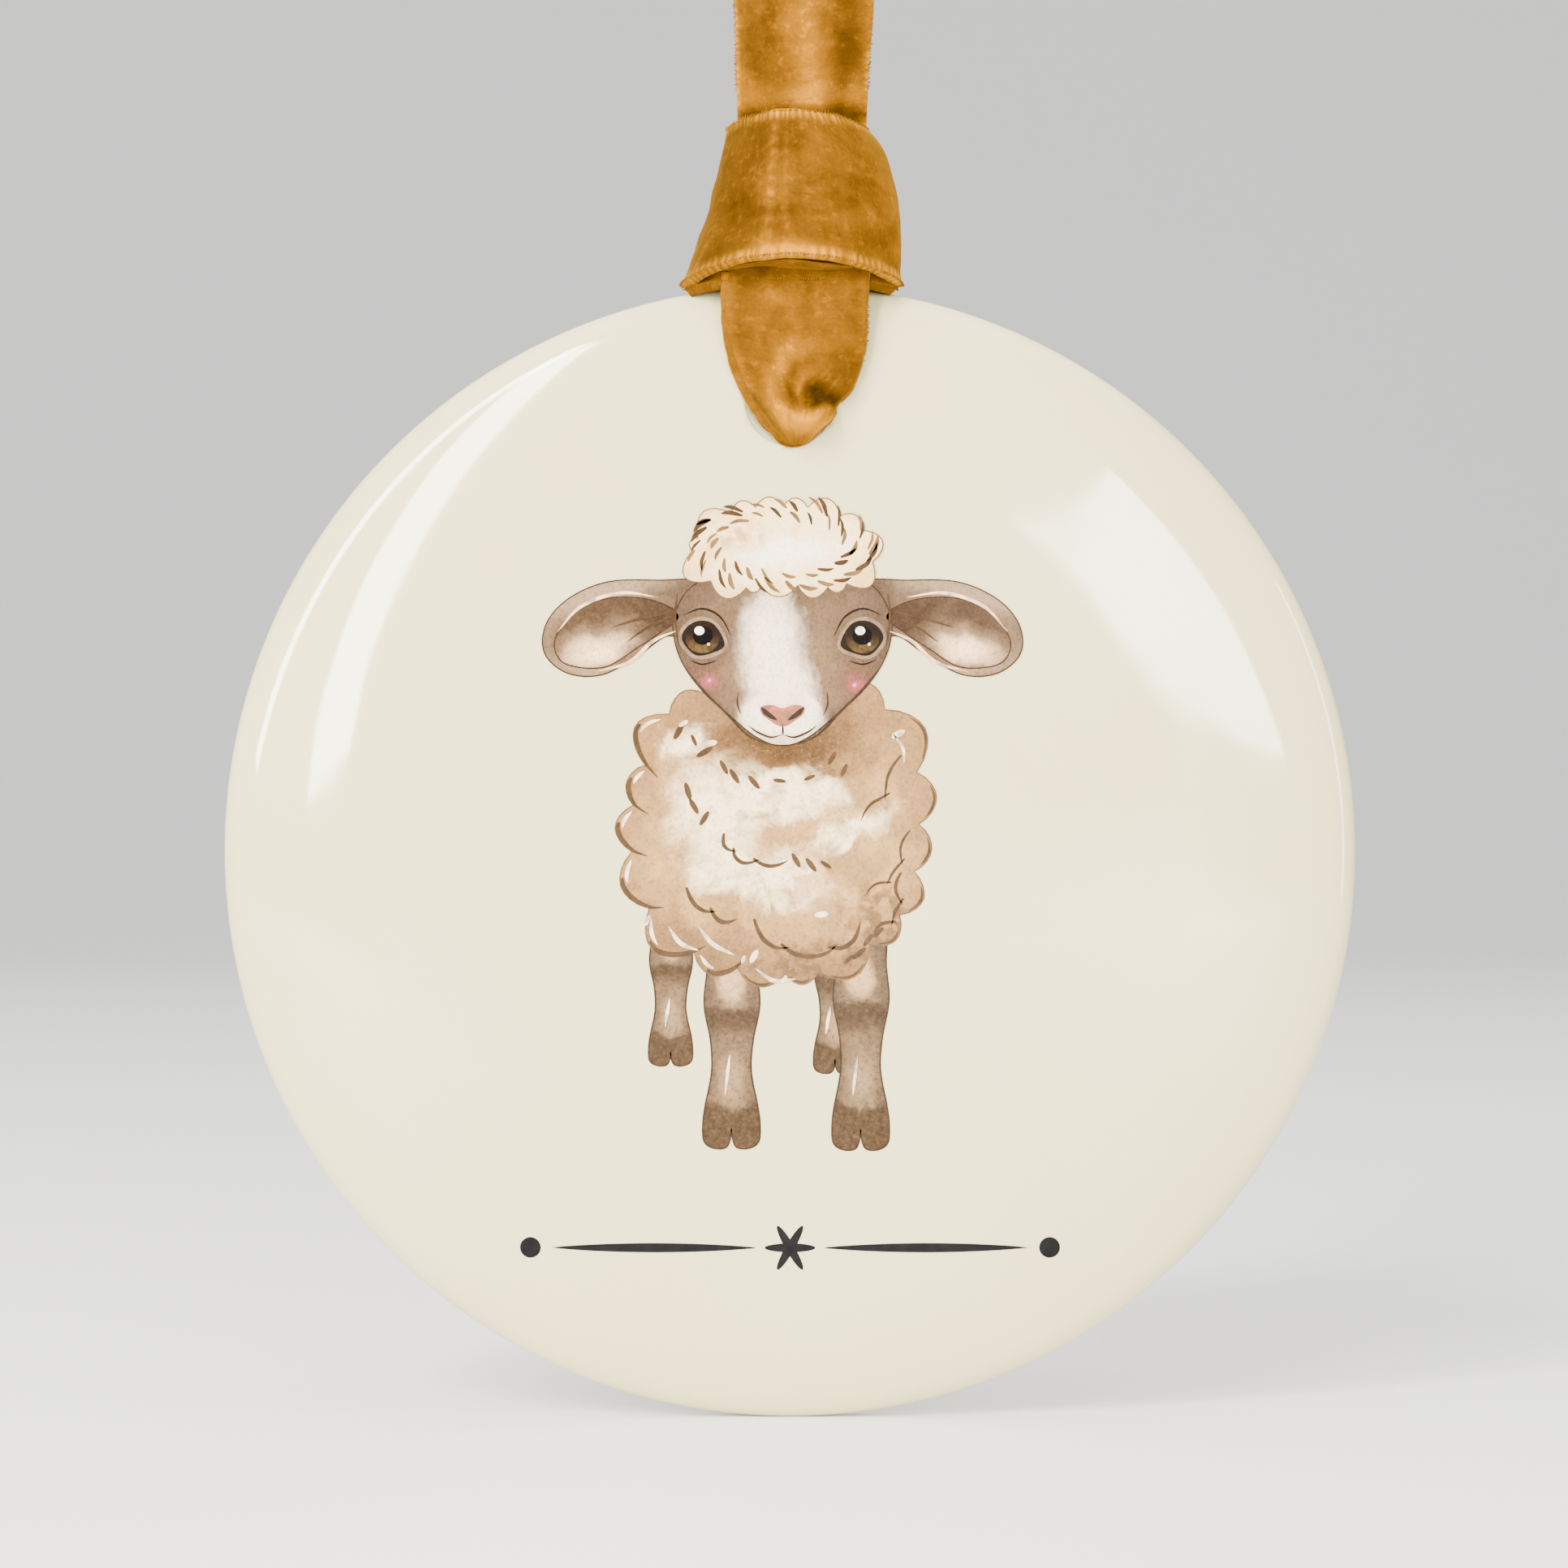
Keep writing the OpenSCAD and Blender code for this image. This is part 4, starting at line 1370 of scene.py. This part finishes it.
def curl_relief(x, z):
    """How far the front leg's pile stands out where it curls round into the hole, and the painted
    highlights and shade laid on it there."""
    dx, dz = x - DIMPLE.x, z - DIMPLE.y
    r = math.hypot(dx, dz)
    angle = math.degrees(math.atan2(dz, dx)) % 360
    pit = -1.1 * math.exp(-(r / 0.8) ** 2)
    track = 3.3 - 1.6 * min(1.0, max(0.0, (angle - 126) / 171))
    fade = math.sin(math.pi * (angle - 84) / 246) ** 0.5 if 84 < angle < 330 else 0.0
    ring = math.exp(-((r - track) / 0.75) ** 2) * fade
    ring += 0.45 * math.exp(-((r - 1.2) / 0.3) ** 2) * fade
    trough = math.exp(-((r - track + 1.15) / 0.35) ** 2) * fade
    way = Vector((math.cos(math.radians(-24)), math.sin(math.radians(-24))))
    along, aside = dx * way.x + dz * way.y, abs(dz * way.x - dx * way.y)
    reach = min(1.0, max(0.0, along / 1.6))
    groove = -0.8 * math.exp(-(aside / 0.42) ** 2) * reach * reach * (3 - 2 * reach)
    crease = math.exp(-((dx * 0.80 + dz * 0.60 + 3.5) / 0.28) ** 2) / (1 + math.exp((dz - 0.4) * 4))
    relief = pit + 0.65 * ring - 0.3 * trough + groove - 0.25 * crease
    # bright: painted highlights on the curl ring and near the tip, painted shade in the pit, trough,
    # groove and crease
    bright = 0.75 * ring - 0.9 * math.exp(-(r / 0.75) ** 2) - 0.5 * trough + groove - 0.5 * crease
    bright += 0.45 * math.exp(-((x - 0.3) / 1.9) ** 2 - ((z - LEG_TIP - 1.4) / 1.1) ** 2)
    return relief, bright


class Leg:
    """The gathered ribbon over one face of the disc, from the rim knot down to the hole."""

    top = RIM_Z + 2.4
    clear = 0.14          # from the glaze to the cloth at its edges

    def __init__(self, front):
        self.front = front
        self.tip = LEG_TIP if front else LEG_TIP + 0.6
        self.shift = 0.55 if front else -0.3

    def spot(self, s, t):
        """Where on the face a point of the cloth is, as x and z."""
        z = self.top + (self.tip - self.top) * math.sin(math.pi / 2 * t)
        half = leg_half(z, self.tip)
        if self.front and s > 0:
            half *= 1 - 0.14 * math.exp(-((z - DISC_Z - 29.7) / 0.45) ** 2)
        lean = self.shift + (0.12 if self.front else 0.0) * math.sin((z - RIM_Z) * 0.7)
        return lean + half * s, z

    def relief(self, x, z, gather):
        """How far the folds stand out."""
        if self.front:
            folds = 0.14 * math.sin(1.9 * x + 0.5) * math.exp(-((z - RIM_Z + 1.5) / 3.0) ** 2)
            return curl_relief(x, z)[0] * gather ** 0.5 + folds
        angle = math.atan2(z - HOLE_Z, x)
        r = math.hypot(x, z - HOLE_Z)
        folds = 0.14 * math.sin(5 * angle) * math.exp(-((r - 1.7) / 1.2) ** 2)
        return folds - 0.9 * math.exp(-(r / 0.9) ** 2)

    def laid(self, s, t):
        x, z = self.spot(s, t)
        gather = min(1.0, max(0.0, (RIM_Z - 3.0 - z) / 6.0))
        puff = (0.75 + 1.3 * gather) * math.sqrt(max(0.0, 1 - s ** 4)) + 0.3 * (1 - gather)
        close = math.sqrt(max(0.0, 1 - min(1.0, max(0.0, (self.tip + 1.9 - z) / 1.9)) ** 2))
        relief = self.relief(x, z, gather)
        depth = self.clear + puff * close + relief * close * min(1.0, 1.6 * (1 - s * s) + 0.1)
        if abs(s) < 0.8 and close > 0.8:
            depth = max(depth, 1.1 if self.front else 0.7)
        p = Vector((x, (FACE_Y - depth) if self.front else (BACK_Y + depth), z))
        return p + ruffled(p, 0.07, 1.1)

    def opened(self, s, t):
        # painted light on the leg: bright edges, the curl's painted highlights and shade, a painted
        # shadow just under the rim knot and a soft painted highlight below it
        x, z = self.spot(s, t)
        rim = 0.35 * max(0.0, abs(s) - 0.84) / 0.16
        ridge = curl_relief(x, z)[1] if self.front else 0.0
        # painted shadow cast by the rim knot onto the top of the leg
        ridge -= 0.5 * math.exp(-((z - RIM_Z - 0.6) / 1.0) ** 2)
        glow = 0.22 * math.exp(-(((x - 0.2) / 1.6) ** 2 + ((z - RIM_Z + 2.5) / 2.4) ** 2))
        return min(1.0, max(-0.8, rim + ridge + glow))

    def cloth(self, s, t):
        z = self.spot(s, t)[1]
        return (s * CLOTH_HALF * 0.86, (self.top - z) + (60 if self.front else 90))


def make_leg(side, velvet, ground):
    leg = Leg(side < 0)
    word = "front" if leg.front else "back"
    bm = cloth_grid(80, 120, leg.laid, leg.opened, leg.cloth)
    if leg.front:
        turn_over(bm)
    made = piece(f"velvet_{word}_leg", bm, [velvet, ground], None, [f"{word}_leg"])
    thicken(made, CLOTH_T * 0.55)
    edges = [side_edge(leg.laid, s, 0.9, range(10, 50), 50) for s in (-1, 1)]
    fringe(made, edges, 40 + side, 0.3, 0.13)
    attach(made, "knotted_ribbon")
    return made


def make_under_leg(velvet):
    """The ribbon's other edge, which shows below and left of the front leg."""
    def laid(s, t):
        z = RIM_Z + 0.5 + (LEG_TIP - 0.15 - RIM_Z - 0.5) * math.sin(math.pi / 2 * t)
        half = leg_half(z, LEG_TIP - 0.15) * 1.01
        x = 0.2 + half * s
        near = min(1.0, max(0.0, (z - LEG_TIP + 0.15) / 1.5)) ** 0.5
        y = FACE_Y - 0.3 - 0.55 * math.sqrt(max(0.0, 1 - s ** 4)) * near
        p = Vector((x, y, z))
        return p + ruffled(p, 0.06, 1.3)

    def cloth(s, t):
        return (s * CLOTH_HALF * 0.8, t * 12 + 130)

    # the lambda gives a painted highlight along both edges
    bm = cloth_grid(40, 60, laid, lambda s, t: 0.35 * max(0.0, abs(s) - 0.8) / 0.2, cloth)
    turn_over(bm)
    made = piece("velvet_under_leg", bm, [velvet, velvet], None, ())
    thicken(made, 0.3)
    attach(made, "knotted_ribbon")
    return made


def make_roll(velvet):
    """The ribbon rolled up through the hole, twisted on its way."""
    bm = bmesh.new()
    bmesh.ops.create_cone(bm, cap_ends=True, segments=48, radius1=1.0, radius2=1.0, depth=1.0)
    long_edges = [e for e in bm.edges if abs(e.verts[0].co.z - e.verts[1].co.z) > 0.5]
    bmesh.ops.subdivide_edges(bm, edges=long_edges, cuts=10)
    radius, deep = HOLE_R - 0.3, roll_high.y - roll_low.y
    for vert in bm.verts:
        angle = math.atan2(vert.co.y, vert.co.x)
        turn = angle + vert.co.z * 1.4
        r = radius * (0.9 + 0.09 * math.sin(5 * angle)) if math.hypot(vert.co.x, vert.co.y) > 0.5 else 0.0
        vert.co = Vector((r * math.cos(turn), vert.co.z * deep, HOLE_Z + r * math.sin(turn)))
    bmesh.ops.recalc_face_normals(bm, faces=bm.faces)
    uv_layer = bm.loops.layers.uv.new("cloth")
    for face in bm.faces:
        for loop in face.loops:
            loop[uv_layer].uv = (loop.vert.co.x, loop.vert.co.y)
    return piece("velvet_hole_roll", bm, [velvet], "knotted_ribbon", ["hole_stretch"])


def make_tail(side, velvet, ground):
    """A cut end of the ribbon, above the end knot."""
    word = "left" if side < 0 else "right"
    base, tall = tail_low.z - 2.0, tail_high.z - tail_low.z
    lean = 6.0

    def laid(s, t):
        slant = 2.0 * s * side
        z = base + (tall + slant) * t
        curl = t * t
        half = (CLOTH_HALF - 0.6) * (0.82 + 0.18 * min(1.0, t * 2.5))
        x = side * lean * t ** 1.3 + half * s
        y = side * (0.65 + 1.4 * curl) + 0.5 * math.sin(2.0 * s + side) * (1 - t) + 0.35 * s * s * side
        p = Vector((x, y, z))
        return p + ruffled(p, 0.08, 0.5)

    def cloth(s, t):
        return (s * CLOTH_HALF, t * 17 + 200 + 30 * side)

    # the lambda gives a painted highlight along both edges
    bm = cloth_grid(24, 44, laid, lambda s, t: 0.3 * max(0.0, abs(s) - 0.86) / 0.14, cloth)
    if side > 0:
        turn_over(bm)
    made = piece(f"velvet_{word}_tail", bm, [velvet, ground], None, [f"{word}_tail"])
    thicken(made, CLOTH_T * 0.75, 0.0)
    edges = [side_edge(laid, s, 0.85, range(4, 31), 30) for s in (-1, 1)]
    cut = [(laid(i / 12, 1.0), Vector((0, 0, 1))) for i in range(-12, 13)]
    fringe(made, edges + [cut], 60 + side)
    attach(made, "hanging_loop")
    return made


# ---- ribbon ---------------------------------------------------------------------

def make_ribbon():
    velvet, ground = velvet_paint(), ground_paint()
    strands = {side: make_strand(side, velvet, ground) for side in (-1, 1)}
    wrap, end = rim_wrap(), end_wrap()
    make_wrap("velvet_rim_knot", Band(wrap, -1.2, 3), velvet, ground, "knotted_ribbon",
              ["rim_knot"])
    make_wrap("velvet_rim_knot_inner_turn", Band(inner_turn(), 9.0, 5, True), velvet, ground,
              "knotted_ribbon")
    make_mouth("velvet_rim_knot_mouth", wrap, velvet, "knotted_ribbon")
    make_core("velvet_rim_knot_core", wrap, velvet, "knotted_ribbon")
    make_tuck("velvet_rim_knot_tuck", wrap, velvet, ground, "knotted_ribbon", 4)
    make_wrap("velvet_end_knot", Band(end, 1.2, 6), velvet, ground, "hanging_loop", ["end_knot"])
    make_core("velvet_end_knot_core", end, velvet, "hanging_loop", 1.0)
    make_tuck("velvet_end_knot_tuck", end, velvet, ground, "hanging_loop", 7)
    for side in (-1, 1):
        make_leg(side, velvet, ground)
        make_tail(side, velvet, ground)
    make_under_leg(velvet)
    make_roll(velvet)
    bpy.context.view_layer.update()
    for side, strand in strands.items():
        declare_strand(side, strand)


def declare_strand(side, strand):
    """A free stretch of the ribbon: from the rim knot's mouth up into the end knot."""
    path = [(0.0, -side * y * MM, z * MM) for y, z in STRAND]
    -side * STRAND[0].x * MM
    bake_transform(strand)


# ---- camera, light and floor ----------------------------------------------------

SIGHT_W = 104.4      # width of the picture at the disc, in millimetres
SIGHT_X = -0.4
SIGHT_Z = DISC_Z + 4.48
LENS = 100
SENSOR = 36


def make_camera():
    data = bpy.data.cameras.new("camera")
    data.lens, data.sensor_width = LENS, SENSOR
    data.clip_start, data.clip_end = 0.01, 20
    camera = bpy.data.objects.new("camera", data)
    bpy.context.scene.collection.objects.link(camera)
    away = SIGHT_W * LENS / SENSOR
    camera.location = Vector((SIGHT_X, FACE_Y - away, SIGHT_Z)) * MM
    camera.rotation_euler = (math.radians(90), 0, 0)
    bpy.context.scene.camera = camera


def stage_paint(name, red, green, blue):
    paint = Paint(name, roughness=0.6)
    paint.set("Base Color", (red, green, blue, 1.0))
    paint.set("Specular IOR Level", 0.3)
    return paint.material


def make_stage():
    """A pale table that sweeps up into a plain wall behind the ornament."""
    bm = bmesh.new()
    floor_z, wall_y, bend = disc_low.z, 1500.0, 700.0
    reach, wall_h = 5000, 2600
    line = [(-reach, 0), (-300, 0), (wall_y - bend, 0)]
    line += [(wall_y - bend + bend * math.sin(math.radians(a)), bend * (1 - math.cos(math.radians(a))))
             for a in range(10, 91, 10)]
    line += [(wall_y, wall_h)]
    points = [bm.verts.new((-reach, y, floor_z + z)) for y, z in line]
    edges = [bm.edges.new(pair) for pair in zip(points, points[1:])]
    grown = bmesh.ops.extrude_edge_only(bm, edges=edges)
    moved = [v for v in grown["geom"] if isinstance(v, bmesh.types.BMVert)]
    bmesh.ops.translate(bm, vec=(2 * reach, 0, 0), verts=moved)
    stage = piece("stage", bm, [stage_paint("stage_white", 0.80, 0.785, 0.76)], None)


def make_window(name, foot, head, side, brightness, colour=(1.0, 1.0, 1.0)):
    """A bright rectangle in the studio, lengthwise from foot to head and as wide as side.
    Places are in millimetres from the middle of the disc."""
    foot, head, side = Vector(foot), Vector(head), Vector(side)
    up = (head - foot).normalized()
    wide = side - up * side.dot(up)
    across, middle = wide.normalized(), (foot + head) / 2
    if across.cross(up).dot(middle) < 0:
        across = -across
    data = bpy.data.lights.new(name, "AREA")
    data.shape = "RECTANGLE"
    data.size, data.size_y = wide.length * MM, (head - foot).length * MM
    data.energy = brightness * math.pi * data.size * data.size_y
    data.color = colour
    light = bpy.data.objects.new(name, data)
    bpy.context.scene.collection.objects.link(light)
    turn = Matrix((across, up, across.cross(up))).transposed().to_4x4()
    light.matrix_world = Matrix.Translation((middle + Vector((0, 0, DISC_Z))) * MM) @ turn


def make_world():
    world = bpy.data.worlds.new("studio")
    bpy.context.scene.world = world
    world.use_nodes = True
    sky = world.node_tree.nodes["Background"]
    sky.inputs["Color"].default_value = (0.95, 0.96, 1.0, 1.0)
    sky.inputs["Strength"].default_value = 0.95


def make_studio():
    """Two tall strips at the left, a receding window at the right, and soft light from above."""
    make_window("left_inner_strip", (-172, -466, 18), (-211, -393, 473), (62, -23, 0), 70,
                (1.0, 0.98, 0.95))
    make_window("left_outer_strip", (-390, -338, 57), (-186, -342, 456), (24, -28, -12), 80,
                (1.0, 0.98, 0.95))
    make_window("right_window", (264, -2976, 175), (194, -427, 102), (-96, 11, 129), 46,
                (0.96, 0.98, 1.0))
    make_window("right_rim_strip", (400, -170, -90), (390, -150, 210), (10, 34, 0), 24)
    make_window("top_softbox", (0, -350, 560), (0, 450, 560), (900, 0, 0), 3.2)


make_camera()
make_ribbon()
make_world()
make_studio()
make_stage()
make_disc(glaze_paint())
make_lamb()
make_flourish()
